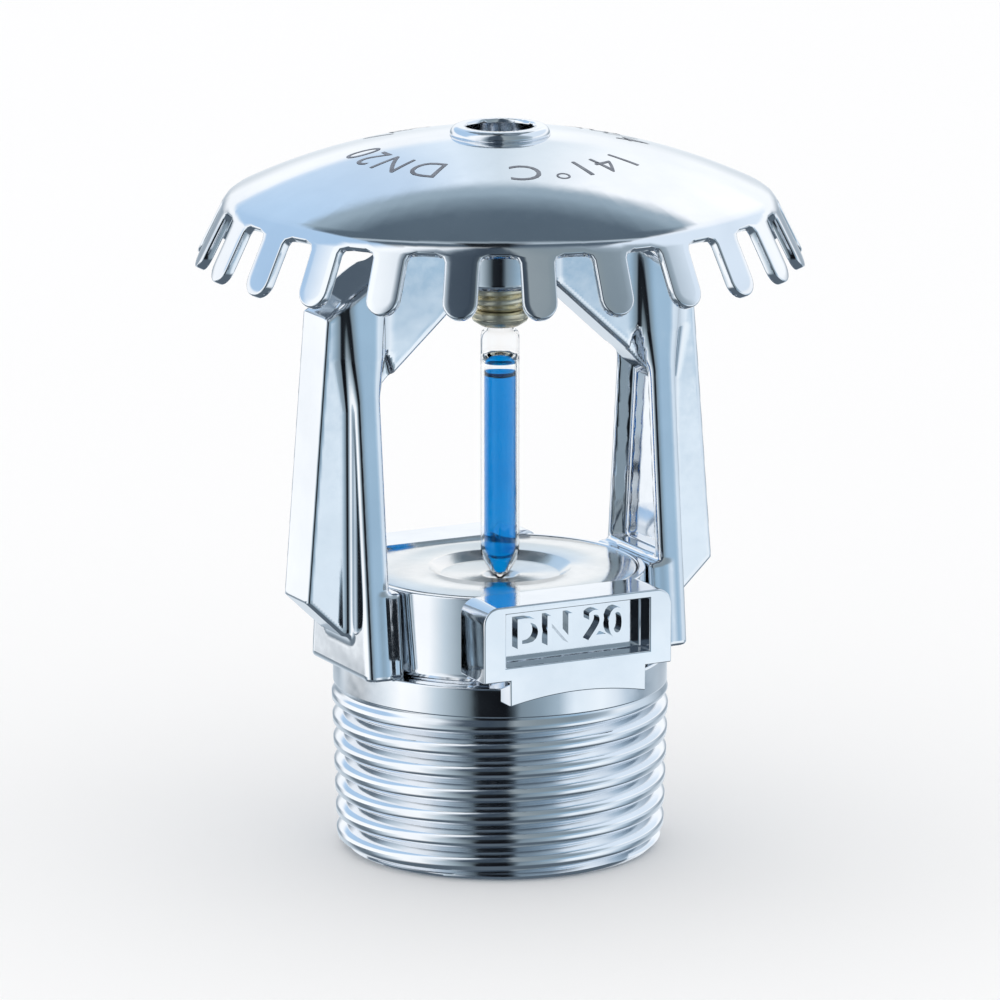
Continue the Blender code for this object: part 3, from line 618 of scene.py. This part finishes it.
def build_inlet_thread():
    """The taper thread with its chamfered start, its run-out under the collar, and the bore inside it."""
    steps = 192
    turn = np.linspace(0, math.tau, steps, endpoint=False)
    crest_at_front = FIRST_CREST_Z - PITCH * CREST_TURN / math.tau
    shares = [-0.5, -0.44, -0.36, -0.28, -0.21, -0.15, 0.0, 0.15, 0.21, 0.28, 0.36, 0.44]
    low, high = 0.02, COLLAR_Z + 0.1
    rows = []
    for whole in range(-2, math.ceil(high / PITCH) + 2):
        for share in shares:
            z = np.clip(crest_at_front + PITCH * (whole + share + turn / math.tau), low, high)
            major = THREAD_MAJOR_RADIUS - TAPER * (THREAD_MAJOR_Z - z)
            radius = thread_radius(z, turn, major, THREAD_DEPTH, PITCH, crest_at_front)
            radius = np.minimum(radius, START_CHAMFER_RADIUS + START_CHAMFER_SLOPE * z)
            run_out = np.clip((z - (COLLAR_Z - RUN_OUT)) / RUN_OUT, 0, 1)
            rows.append(ring(radius * (1 - run_out) + (COLLAR_RADIUS - 0.05) * run_out, z, turn))
    helical = len(rows)
    bore = [(ORIFICE_RADIUS + 0.1, high), (ORIFICE_RADIUS, COLLAR_Z), (ORIFICE_RADIUS, 11)]
    bore += [(INLET_RADIUS, INLET_DEPTH), (INLET_RADIUS, 0.3), (INLET_RADIUS + 0.3, 0), (11.75, 0)]
    rows += [ring(radius, z, turn) for radius, z in bore]

    faces = []
    for row in range(len(rows)):
        above = (row + 1) % len(rows)
        # Once round, a row of the helix comes back one pitch higher
        low_end, high_end = row, above
        if row < helical - len(shares):
            low_end, high_end = row + len(shares), above + len(shares)
        elif row < helical - 1:
            low_end = high_end = helical - 1
        for step in range(steps):
            after = (step + 1) % steps
            low_row, high_row = (row, above) if after else (low_end, high_end)
            corners = (row, step), (low_row, after), (high_row, after), (above, step)
            faces.append([at * steps + along for at, along in corners])
    points = np.concatenate(rows)
    _, first, where = np.unique(np.round(points, 5), axis=0, return_index=True, return_inverse=True)
    merged = [list(dict.fromkeys(where.reshape(-1)[face].tolist())) for face in faces]
    return mesh_object("inlet_thread", points[first], [face for face in merged if len(face) > 2], 50)


def dome_outline():
    """(radius, z) along the outer skin from the hole to where the slots start."""
    crown_centre = CROWN_Z - CROWN_RADIUS
    knuckle_x = ROOT_RADIUS - KNUCKLE_RADIUS * math.cos(FLARE)
    knuckle_z = crown_centre + math.sqrt((CROWN_RADIUS - KNUCKLE_RADIUS) ** 2 - knuckle_x**2)
    joint = math.degrees(math.atan2(knuckle_z - crown_centre, knuckle_x))
    start = math.degrees(math.acos(DEFLECTOR_HOLE / CROWN_RADIUS))
    crown = arc((0, crown_centre), CROWN_RADIUS, start, joint, 30)
    knuckle = arc((knuckle_x, knuckle_z), KNUCKLE_RADIUS, joint, math.degrees(FLARE), 2)
    return crown + knuckle[1:]


def build_deflector():
    """The pressed dome with its teeth: a sheet on the outer skin, thickened inwards, with rounded edges."""
    outline = dome_outline()
    root_radius, root_z = outline[-1]
    half_sector = math.pi / TOOTH_COUNT
    corner_half = TOOTH_HALF_WIDTH + ROOT_CORNER
    shares = np.array([-1, -0.5, 0, 0.5, 1])
    gaps = np.linspace(corner_half / root_radius, half_sector, 4)
    columns = np.concatenate([-gaps[:0:-1], shares * gaps[0], gaps[1:-1]])
    turns = [DEFLECTOR_TURN + (2 * sector + 1) * half_sector - math.pi / 2 for sector in range(TOOTH_COUNT)]
    bm = bmesh.new()

    def place(radius, angle, z):
        return bm.verts.new((radius * math.cos(angle) * MM, radius * math.sin(angle) * MM, z * MM))

    def on_tooth(turn, across, along):
        radius = root_radius + along * math.sin(FLARE)
        return place(radius, turn + across / radius, root_z - along * math.cos(FLARE))

    def strip(upper, lower):
        for first, second, third, fourth in zip(upper, lower, lower[1:], upper[1:]):
            bm.faces.new((first, second, third, fourth))

    angles = np.concatenate([columns + turn for turn in turns])
    rings = [[place(radius, angle, z) for angle in angles] for radius, z in outline]
    for upper, lower in zip(rings, rings[1:]):
        strip(upper + upper[:1], lower + lower[:1])
    straight_end = TOOTH_LENGTH - TOOTH_HALF_WIDTH
    corner_turns = np.radians([45, 90])
    side = [
        (TOOTH_HALF_WIDTH + ROOT_CORNER * (1 - math.sin(t)), ROOT_CORNER * (1 - math.cos(t)))
        for t in corner_turns
    ]
    side += [(TOOTH_HALF_WIDTH, along) for along in np.linspace(ROOT_CORNER, straight_end, 5)[1:]]
    for turn in turns:
        middle = np.searchsorted(angles, turn - 1e-9)
        row = [rings[-1][(middle + step) % len(angles)] for step in (-2, -1, 0, 1, 2)]
        for half, along in side:
            lower = [on_tooth(turn, share * half, along) for share in shares]
            strip(row, lower)
            row = lower
        tip_turns = np.radians(np.linspace(180, 0, 13))[1:-1]
        arcs = []
        for share in (1, 0.5):
            bend = share * TOOTH_HALF_WIDTH
            spots = [(bend * math.cos(t), straight_end + bend * math.sin(t)) for t in tip_turns]
            arcs.append([on_tooth(turn, across, along) for across, along in spots])
        rim = [row[0]] + arcs[0] + [row[4]]
        core = [row[1]] + arcs[1] + [row[3]]
        strip(core, rim)
        for first, second in zip(core, core[1:]):
            bm.faces.new((row[2], first, second))
    bmesh.ops.recalc_face_normals(bm, faces=bm.faces)
    if sum(face.normal.z for face in bm.faces) < 0:
        bmesh.ops.reverse_faces(bm, faces=bm.faces)
    mesh = bpy.data.meshes.new("dome_deflector")
    bm.to_mesh(mesh)
    bm.free()
    mesh.shade_smooth()
    obj = linked("dome_deflector", mesh)
    thick = obj.modifiers.new("sheet", "SOLIDIFY")
    thick.thickness = SHEET * MM
    thick.offset = -1
    thick.use_even_offset = True
    return even_faces(rounded(obj, TOOTH_EDGE, 50, clamps=False))


def build_load_screw():
    """The brass screw, its fine thread, and the hexagon socket in its top."""
    steps = 64
    turn = np.linspace(0, math.tau, steps, endpoint=False)
    bottom, top = SCREW_Z
    rows = []
    for z in np.linspace(bottom, top, 120):
        radius = thread_radius(z, turn, SCREW_RADIUS, SCREW_THREAD_DEPTH, SCREW_PITCH, bottom + 0.25)
        chamfer = SCREW_RADIUS - SCREW_CHAMFER + min(z - bottom, top - z) * 1.1
        rows.append(ring(np.minimum(radius, chamfer), z, turn))
    hexagon = SOCKET_HALF / np.cos((turn + math.pi / 6) % (math.pi / 3) - math.pi / 6)
    for radius, z in ((hexagon + 0.12, top), (hexagon, top - 0.12), (hexagon, SOCKET_Z)):
        rows.append(ring(radius, z, turn))
    points = np.concatenate(rows).tolist()
    faces = []
    for row in range(len(rows) - 1):
        low, high = row * steps, (row + 1) * steps
        for step in range(steps):
            after = (step + 1) % steps
            faces.append((low + step, low + after, high + after, high + step))
    socket_floor = (len(rows) - 1) * steps
    socket_point = len(points)
    points += [(0, 0, SOCKET_Z - 0.35), (0, 0, CUP_HOLE_Z)]
    faces += [(socket_floor + step, socket_floor + (step + 1) % steps, socket_point) for step in range(steps)]
    hole = len(points)
    for z in (bottom, CUP_HOLE_Z):
        points += ring(CUP_HOLE_RADIUS, z, turn).tolist()
    for step in range(steps):
        after = (step + 1) % steps
        faces.append((step, hole + step, hole + after, after))
        faces.append((hole + step, hole + steps + step, hole + steps + after, hole + after))
        faces.append((hole + steps + step, socket_point + 1, hole + steps + after))
    return mesh_object("load_screw_turned", points, faces, 40)


def build_bulb_cup():
    """The cup that the glass seats in, chamfered towards the bulb."""
    profile = [(0, 43.2), (1.15, 43.2), (1.15, 42.25), (2.02, 42.25), (2.2, 42.12), (2.2, 41.78)]
    profile += [(2.12, 41.7), (2.12, 41.64), (2.18, 41.56), (2.1, 41.4), (1.52, 41.02), (1.38, 41.0)]
    profile += [(0.95, 41.0), (0.95, 42.0), (0, 42.0)]
    return turned("bulb_cup_turned", profile, 64, 50)


def bulb_profile(inset):
    """Outline of the bulb from its nib to its tip, at that depth inside the glass."""
    radius = BULB_RADIUS - inset
    nib = NIB_RADIUS - inset
    profile = [(nib, BULB_TOP_Z - inset), (nib, 41.1 - inset)]
    profile += [(nib + 0.06, 40.92 - inset), (radius - 0.32, 40.72 - inset), (radius - 0.1, 40.5 - inset)]
    profile += [(radius - 0.02, 40.25 - inset), (radius, 39.9 - inset)]
    low = 1.2 * inset
    profile += [(radius, z) for z in np.linspace(39.0, 23.4 + low, 12)]
    profile += [(radius - 0.03, 23.0 + low), (radius - 0.14, 22.6 + low), (radius - 0.36, 22.15 + low)]
    profile += [(radius - 0.62, 21.75 + low), (0.62 - 0.5 * inset, 21.4 + low)]
    profile.append((0.46 - 0.6 * inset, 21.15 + low))
    return profile


def build_glass():
    """The drawn bulb, sealed at its top with solid glass, with its cavity."""
    dome = [(0, 39.1), (0.5, 39.02), (0.9, 38.75), (1.15, 38.3), (BULB_RADIUS - GLASS_WALL, 37.8)]
    inner = dome + [(radius, z) for radius, z in bulb_profile(GLASS_WALL) if z < 37.7]
    cavity = turned("bulb_cavity", inner + [(0, inner[-1][1] - 0.06)], 64, 50)
    cavity.data.flip_normals()
    outer = [(0, BULB_TOP_Z)] + bulb_profile(0) + [(0.3, 20.98), (0, 20.96)]
    return absorb(turned("bulb_glass_drawn", outer, 64, 50), cavity)


def build_liquid():
    """The liquid, a hair inside the glass: the column, and what clings in the shoulder above the bubble."""
    line = [(radius, z) for radius, z in bulb_profile(LIQUID_INSET) if z < 37.2]
    edge = line[0][0]
    slopes = np.radians(np.linspace(0, 75, 8))
    meniscus = [(edge * math.sin(t), 36.85 + 0.55 * (1 - math.cos(t))) for t in slopes]
    profile = meniscus + [(edge, 37.4)] + line + [(0, line[-1][1] - 0.04)]
    column = turned("bulb_liquid_fill", profile, 64, 60)
    drop = [(0, 38.32), (0.5, 38.28), (0.9, 38.16), (1.14, 38.06), (1.17, 38.14), (1.13, 38.3)]
    drop += [(0.89, 38.74), (0.49, 39.01), (0, 39.09)]
    return absorb(column, turned("bulb_liquid_cling", drop, 64, 60))


def build_valve_cap():
    """The pressed cap with its recess and the seat for the bulb's tip."""
    profile = [(0, 20.85), (0.8, 20.85), (1.1, 20.98), (1.32, 21.2), (1.6, 21.3)]
    profile += [(4.6, 21.3), (4.72, 21.33), (5.5, 21.88), (5.66, 21.95), (10.42, 21.95)]
    profile += [(10.56, 21.9), (10.6, 21.8), (10.6, 20.95), (4.5, 20.95), (4.3, 19.95), (0, 19.95)]
    return turned("valve_cap_pressed", profile, 128, 50)


# ---------------------------------------------------------------- markings


def text_mesh(name, words, size, depth, spacing=1.0, weight=0.0):
    """Words as a mesh in the x-y plane, centred, in millimetres."""
    curve = bpy.data.curves.new(name, "FONT")
    curve.body = words
    curve.size = size
    curve.align_x = "CENTER"
    curve.align_y = "CENTER"
    curve.space_character = spacing
    curve.extrude = depth / 2
    curve.offset = weight
    curve.resolution_u = 4
    obj = linked(name, curve)
    graph = bpy.context.evaluated_depsgraph_get()
    mesh = bpy.data.meshes.new_from_object(obj.evaluated_get(graph))
    bpy.data.objects.remove(obj)
    mesh.name = name
    return mesh


def build_flat_label(name, side):
    """The raised size mark in the recess of a wrench flat."""
    mesh = text_mesh(name, FLAT_MARK, FLAT_MARK_SIZE, FLAT_MARK_DEPTH, 1.05, 0.03)
    stand = Matrix.Rotation(math.pi / 2, 4, "X")
    turn = Matrix.Rotation(0 if side < 0 else math.pi, 4, "Z")
    middle = (WINDOW_Z[0] + WINDOW_Z[1]) / 2
    place = Matrix.Translation((0, side * (WINDOW_FLOOR_Y + 0.22), middle))
    mesh.transform(Matrix.Scale(MM, 4) @ place @ turn @ stand)
    return linked(name, mesh)


def build_dome_marks():
    """Thin etched size marks that run clockwise round the crown, with their tops to the rim."""
    bm = bmesh.new()
    crown_centre = CROWN_Z - CROWN_RADIUS
    for words, degrees in DOME_MARKS:
        mesh = text_mesh("etched", words, DOME_MARK_SIZE, 0.0, 1.2, -0.025)
        letters = bmesh.new()
        letters.from_mesh(mesh)
        for _ in range(3):
            long_edges = [edge for edge in letters.edges if edge.calc_length() > LONGEST_EDGE]
            bmesh.ops.subdivide_edges(letters, edges=long_edges, cuts=1, use_grid_fill=False)
            bmesh.ops.triangulate(letters, faces=letters.faces)
        letters.to_mesh(mesh)
        letters.free()
        for vert in mesh.vertices:
            across, up = vert.co.x, vert.co.y
            radius = MARK_RADIUS + up
            angle = math.radians(degrees) - across / MARK_RADIUS
            height = crown_centre + math.sqrt(CROWN_RADIUS**2 - radius**2) + MARK_LIFT
            vert.co = Vector((radius * math.cos(angle), radius * math.sin(angle), height)) * MM
        bm.from_mesh(mesh)
        bpy.data.meshes.remove(mesh)
    mesh = bpy.data.meshes.new("dome_marks")
    bm.to_mesh(mesh)
    bm.free()
    return linked("dome_marks", mesh)


# ---------------------------------------------------------------- materials


class Surface:
    """A Principled material, with helpers for the nodes that vary it."""

    def __init__(self, name, **values):
        self.material = bpy.data.materials.new(name)
        self.material.use_nodes = True
        self.tree = self.material.node_tree
        self.shader = self.tree.nodes["Principled BSDF"]
        self.coordinates = self.tree.nodes.new("ShaderNodeTexCoord")
        for socket, value in values.items():
            self.shader.inputs[socket.replace("_", " ")].default_value = value

    def node(self, kind, **inputs):
        """A new node with those inputs set."""
        made = self.tree.nodes.new(kind)
        for socket, value in inputs.items():
            made.inputs[socket].default_value = value
        return made

    def link(self, output, target):
        self.tree.links.new(output, target)

    def noise(self, scale, detail=3.0, roughness=0.5, stretch=(1, 1, 1)):
        """Noise over the piece, that many features to the metre."""
        mapping = self.node("ShaderNodeMapping", Scale=stretch)
        self.link(self.coordinates.outputs["Object"], mapping.inputs["Vector"])
        found = self.node("ShaderNodeTexNoise", Scale=scale, Detail=detail, Roughness=roughness)
        self.link(mapping.outputs["Vector"], found.inputs["Vector"])
        return found.outputs["Fac"]

    def ramp(self, value, stops):
        """A value or a colour that follows the stops, each (position, number or colour)."""
        found = self.node("ShaderNodeValToRGB")
        elements = found.color_ramp.elements
        while len(elements) < len(stops):
            elements.new(0.5)
        for element, (position, colour) in zip(elements, stops):
            element.position = position
            grey = (colour, colour, colour, 1) if isinstance(colour, (int, float)) else (*colour, 1)
            element.color = grey
        self.link(value, found.inputs["Fac"])
        return found.outputs["Color"]

    def drive(self, socket, value, *stops):
        """Drives one of the shader's inputs with a value put through the stops."""
        self.link(self.ramp(value, stops), self.shader.inputs[socket])

    def bump(self, height, strength, distance):
        """Small dents that follow the height."""
        found = self.node("ShaderNodeBump", Strength=strength, Distance=distance)
        self.link(height, found.inputs["Height"])
        self.link(found.outputs["Normal"], self.shader.inputs["Normal"])


def chrome(name, polish, waviness):
    """Bright chrome: near-white metal, with faint clouding, fine scratches and a soft waviness."""
    surface = Surface(name, Metallic=1.0)
    cloud = surface.noise(160, 4)
    surface.drive("Base Color", cloud, (0.3, (0.80, 0.83, 0.87)), (0.7, (0.90, 0.92, 0.95)))
    scuff = surface.noise(900, 5, 0.65)
    surface.drive("Roughness", scuff, (0.35, polish), (0.75, polish + 0.07))
    surface.bump(surface.noise(260, 2), waviness, 0.0004)
    return surface.material


def brass():
    """Turned brass with a little tarnish, and fine marks round the axis."""
    surface = Surface("turned_brass", Metallic=1.0)
    tarnish = surface.noise(700, 4)
    surface.drive("Base Color", tarnish, (0.3, (0.80, 0.72, 0.53)), (0.7, (0.95, 0.89, 0.71)))
    surface.drive("Roughness", surface.noise(1500, 3), (0.3, 0.3), (0.7, 0.45))
    surface.bump(surface.noise(1200, 3, 0.5, (1, 1, 6)), 0.25, 0.0001)
    return surface.material


def glass():
    """Clear drawn glass."""
    surface = Surface("drawn_glass", Transmission_Weight=1.0, IOR=1.47, Specular_Tint=(0.55, 0.8, 1.0, 1.0))
    surface.drive("Base Color", surface.noise(300, 2), (0.3, (0.96, 0.985, 1.0)), (0.7, (0.985, 0.995, 1.0)))
    surface.drive("Roughness", surface.noise(900, 2), (0.4, 0.0), (0.8, 0.02))
    return surface.material


def liquid():
    """Clear blue liquid."""
    surface = Surface("blue_liquid_look", Transmission_Weight=1.0, IOR=1.33, Roughness=0.0)
    surface.shader.inputs["Specular Tint"].default_value = (0.02, 0.3, 0.9, 1.0)
    tint = surface.noise(220, 2)
    surface.drive("Base Color", tint, (0.3, (0.0008, 0.21, 0.61)), (0.7, (0.001, 0.25, 0.67)))
    return surface.material


def satin_nickel():
    """Satin nickel plate."""
    surface = Surface("satin_nickel_look", Metallic=1.0)
    cloud = surface.noise(250, 4)
    surface.drive("Base Color", cloud, (0.3, (0.76, 0.76, 0.755)), (0.7, (0.86, 0.86, 0.85)))
    surface.drive("Roughness", surface.noise(1400, 4), (0.3, 0.12), (0.7, 0.19))
    surface.bump(surface.noise(1800, 3), 0.04, 0.0001)
    return surface.material


def etched():
    """Dark etched marks."""
    surface = Surface("etched_mark", Metallic=0.6)
    surface.drive("Base Color", surface.noise(1200, 3), (0.3, (0.24, 0.25, 0.29)), (0.7, (0.36, 0.37, 0.41)))
    surface.drive("Roughness", surface.noise(900, 3), (0.3, 0.45), (0.7, 0.7))
    return surface.material


def spring_steel():
    """Grey spring steel."""
    surface = Surface("spring_steel_look", Metallic=1.0)
    surface.drive("Base Color", surface.noise(500, 4), (0.3, (0.42, 0.43, 0.45)), (0.7, (0.58, 0.59, 0.61)))
    surface.drive("Roughness", surface.noise(1500, 4), (0.3, 0.25), (0.7, 0.4))
    return surface.material


def ptfe():
    """White film."""
    surface = Surface("ptfe_look", Specular_IOR_Level=0.4)
    surface.drive("Base Color", surface.noise(600, 3), (0.3, (0.86, 0.86, 0.83)), (0.7, (0.93, 0.93, 0.91)))
    surface.drive("Roughness", surface.noise(1500, 3), (0.3, 0.4), (0.7, 0.6))
    return surface.material


def dress(obj, material):
    """Gives the piece that material alone."""
    obj.data.materials.clear()
    obj.data.materials.append(material)
    return obj


# ---------------------------------------------------------------- studio


def build_camera():
    """The view from the front left, a little above."""
    azimuth, elevation = math.radians(VIEW_AZIMUTH), math.radians(VIEW_ELEVATION)
    level = math.cos(elevation)
    back = Vector((math.sin(azimuth) * level, -math.cos(azimuth) * level, math.sin(elevation)))
    aim = Vector((0, 0, AIM_Z)) * MM
    data = bpy.data.cameras.new("camera")
    data.lens = LENS
    data.sensor_width = 36
    data.clip_start = 0.01
    camera = linked("camera", data)
    camera.location = aim + back * VIEW_DISTANCE * MM
    camera.rotation_euler = (aim - camera.location).to_track_quat("-Z", "Y").to_euler()
    bpy.context.scene.camera = camera


def ramp_node(tree, value, stops):
    """A colour that follows the stops, each (position, sRGB hex colour as seen in the chrome)."""
    found = tree.nodes.new("ShaderNodeValToRGB")
    elements = found.color_ramp.elements
    while len(elements) < len(stops):
        elements.new(0.5)
    for element, (position, shade) in zip(elements, stops):
        parts = [int(shade[i : i + 2], 16) / 255 for i in (0, 2, 4)]
        element.position = position
        element.color = (*[min((part**2.2) / CHROME_SHARE, 1.2) for part in parts], 1)
    tree.links.new(value, found.inputs["Fac"])
    return found.outputs["Color"]


def build_world():
    """A white studio: light tables below and behind, a dark ceiling, and a dark gap towards the camera."""
    world = bpy.data.worlds.new("studio")
    bpy.context.scene.world = world
    world.use_nodes = True
    world.cycles.sampling_method = "NONE"
    tree = world.node_tree
    link = tree.links.new
    direction = tree.nodes.new("ShaderNodeTexCoord").outputs["Generated"]

    def math_node(operation, first, second=None, third=None):
        found = tree.nodes.new("ShaderNodeMath")
        found.operation = operation
        for socket, value in zip(found.inputs, (first, second, third)):
            if isinstance(value, (int, float)):
                socket.default_value = value
            elif value is not None:
                link(value, socket)
        return found.outputs[0]

    def along(axis):
        found = tree.nodes.new("ShaderNodeVectorMath")
        found.operation = "DOT_PRODUCT"
        link(direction, found.inputs[0])
        found.inputs[1].default_value = axis
        return found.outputs["Value"]

    def blend(factor, first, second):
        found = tree.nodes.new("ShaderNodeMix")
        found.data_type = "RGBA"
        link(factor, found.inputs["Factor"])
        link(first, found.inputs[6])
        link(second, found.inputs[7])
        return found.outputs[2]

    def rise(value, low, high):
        found = tree.nodes.new("ShaderNodeMapRange")
        found.interpolation_type = "SMOOTHSTEP"
        link(value, found.inputs["Value"])
        found.inputs["From Min"].default_value = low
        found.inputs["From Max"].default_value = high
        return found.outputs["Result"]

    turn = math.radians(VIEW_AZIMUTH)
    right = along((math.cos(turn), math.sin(turn), 0))
    near = along((math.sin(turn), -math.cos(turn), 0))
    upward = along((0, 0, 1))
    azimuth = math_node("MULTIPLY_ADD", math_node("ARCTAN2", right, near), 0.5 / math.pi, 0.5)
    height = math_node("MULTIPLY", math_node("ARCSINE", upward), 180 / math.pi)

    def around(stops):
        return ramp_node(tree, azimuth, [(0.5 + degrees / 360, shade) for degrees, shade in stops])

    def plain(shade):
        return ramp_node(tree, azimuth, [(0.0, shade), (1.0, shade)])

    table = blend(rise(height, *THREAD_TO_ARMS), around(THREAD_LIGHT), around(ARM_LIGHT))
    table = blend(rise(height, *ARMS_TO_WEBS), table, around(WEB_LIGHT))
    table = blend(rise(height, *UNDER_TO_THREAD), plain(UNDER_LIGHT), table)
    across = math_node("ADD", right, 0.5)
    sweep = ramp_node(tree, across, [(0.5 + share, shade) for share, shade in SWEEP_LIGHT])
    sweep = blend(rise(height, *BACK_WALL_TO_SWEEP), plain(BACK_WALL_LIGHT), sweep)
    steepness = math_node("MAXIMUM", upward, 0.02)
    reach = math_node("DIVIDE", math_node("MULTIPLY", near, -1.0), steepness)
    sideways = math_node("ABSOLUTE", math_node("DIVIDE", math_node("ADD", right, 0.01), steepness))
    off_middle = math_node("ABSOLUTE", math_node("ADD", right, 0.025))
    overhead = math_node("MULTIPLY", rise(reach, *GAP_EDGE), rise(off_middle, *GAP_SIDE))
    board = blend(overhead, ramp_node(tree, reach, BOARD_LIGHT), plain(GAP_LIGHT))
    on_board = math_node("MULTIPLY", rise(reach, *BOARD_EDGE), rise(sideways, *BOARD_SIDE))
    upper = blend(rise(near, 0.25, -0.05), around(WALL_LIGHT), blend(on_board, sweep, board))
    colour = blend(rise(height, *TABLE_TO_WALLS), table, upper)
    paths = tree.nodes.new("ShaderNodeLightPath")
    through = math_node("SUBTRACT", 1.0, paths.outputs["Is Transmission Ray"])
    mirrored_ray = math_node("MULTIPLY", paths.outputs["Is Glossy Ray"], through)
    white = tree.nodes.new("ShaderNodeRGB")
    white.outputs[0].default_value = (ROOM_LIGHT, ROOM_LIGHT, ROOM_LIGHT, 1)
    background = tree.nodes["Background"]
    link(blend(mirrored_ray, white.outputs[0], colour), background.inputs["Color"])
    background.inputs["Strength"].default_value = 1.0


def build_floor():
    """A pale floor just under the head, which the chrome doesn't mirror."""
    bpy.ops.mesh.primitive_plane_add(size=6)
    floor = bpy.context.object
    floor.name = "floor"
    floor.location.z = -0.0001
    surface = Surface("pale_floor", Roughness=0.9, Specular_IOR_Level=0.1)
    surface.drive("Base Color", surface.noise(3, 2), (0.2, (0.93, 0.93, 0.935)), (0.8, (0.96, 0.96, 0.965)))
    dress(floor, surface.material)
    floor.visible_glossy = False


def main():
    cast_chrome = chrome("cast_chrome", 0.05, 0.022)
    pressed_chrome = chrome("pressed_chrome", 0.05, 0.03)
    thread_chrome = chrome("thread_chrome", 0.06, 0.05)
    brass_look = brass()
    pieces = [
        (build_casting(), "body", ["frame"], "chrome_plate", cast_chrome),
        (build_boss(), "body", ["frame"], "chrome_plate", cast_chrome),
        (build_inlet_thread(), "body", ["frame"], "chrome_plate", thread_chrome),
        (build_wrench_flat("wrench_flat_front", -1), "body", ["frame"], "chrome_plate", cast_chrome),
        (build_wrench_flat("wrench_flat_back", 1), "body", ["frame"], "chrome_plate", cast_chrome),
        (build_flat_label("flat_mark_front", -1), "body", [], "chrome_plate", cast_chrome),
        (build_flat_label("flat_mark_back", 1), "body", [], "chrome_plate", cast_chrome),
        (build_deflector(), "body", ["deflector"], "chrome_plate", pressed_chrome),
        (build_dome_marks(), "body", [], "chrome_plate", etched()),
        (build_load_screw(), "screw", ["load_screw"], "screw_brass", brass_look),
        (build_bulb_cup(), "cup", ["bulb_cup"], "screw_brass", brass_look),
        (build_glass(), "bulb", ["glass_bulb"], "bulb_glass", glass()),
        (build_liquid(), "bulb", ["bulb_liquid"], "blue_liquid", liquid()),
        (build_valve_cap(), "valve", ["valve_cap"], "satin_nickel", satin_nickel()),
    ]
    for obj, body, replaced, slot, material in pieces:
        dress(obj, material)
        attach(obj, body)
        if replaced:
            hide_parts(*replaced)
    steel, film = spring_steel(), ptfe()
    dress(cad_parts["disc_spring"], steel)
    dress(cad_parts["ptfe_seal_upper"], film)
    dress(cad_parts["ptfe_seal_lower"], film)
    build_camera()
    build_world()
    build_floor()
    bpy.context.scene.view_settings.view_transform = "Standard"


main()
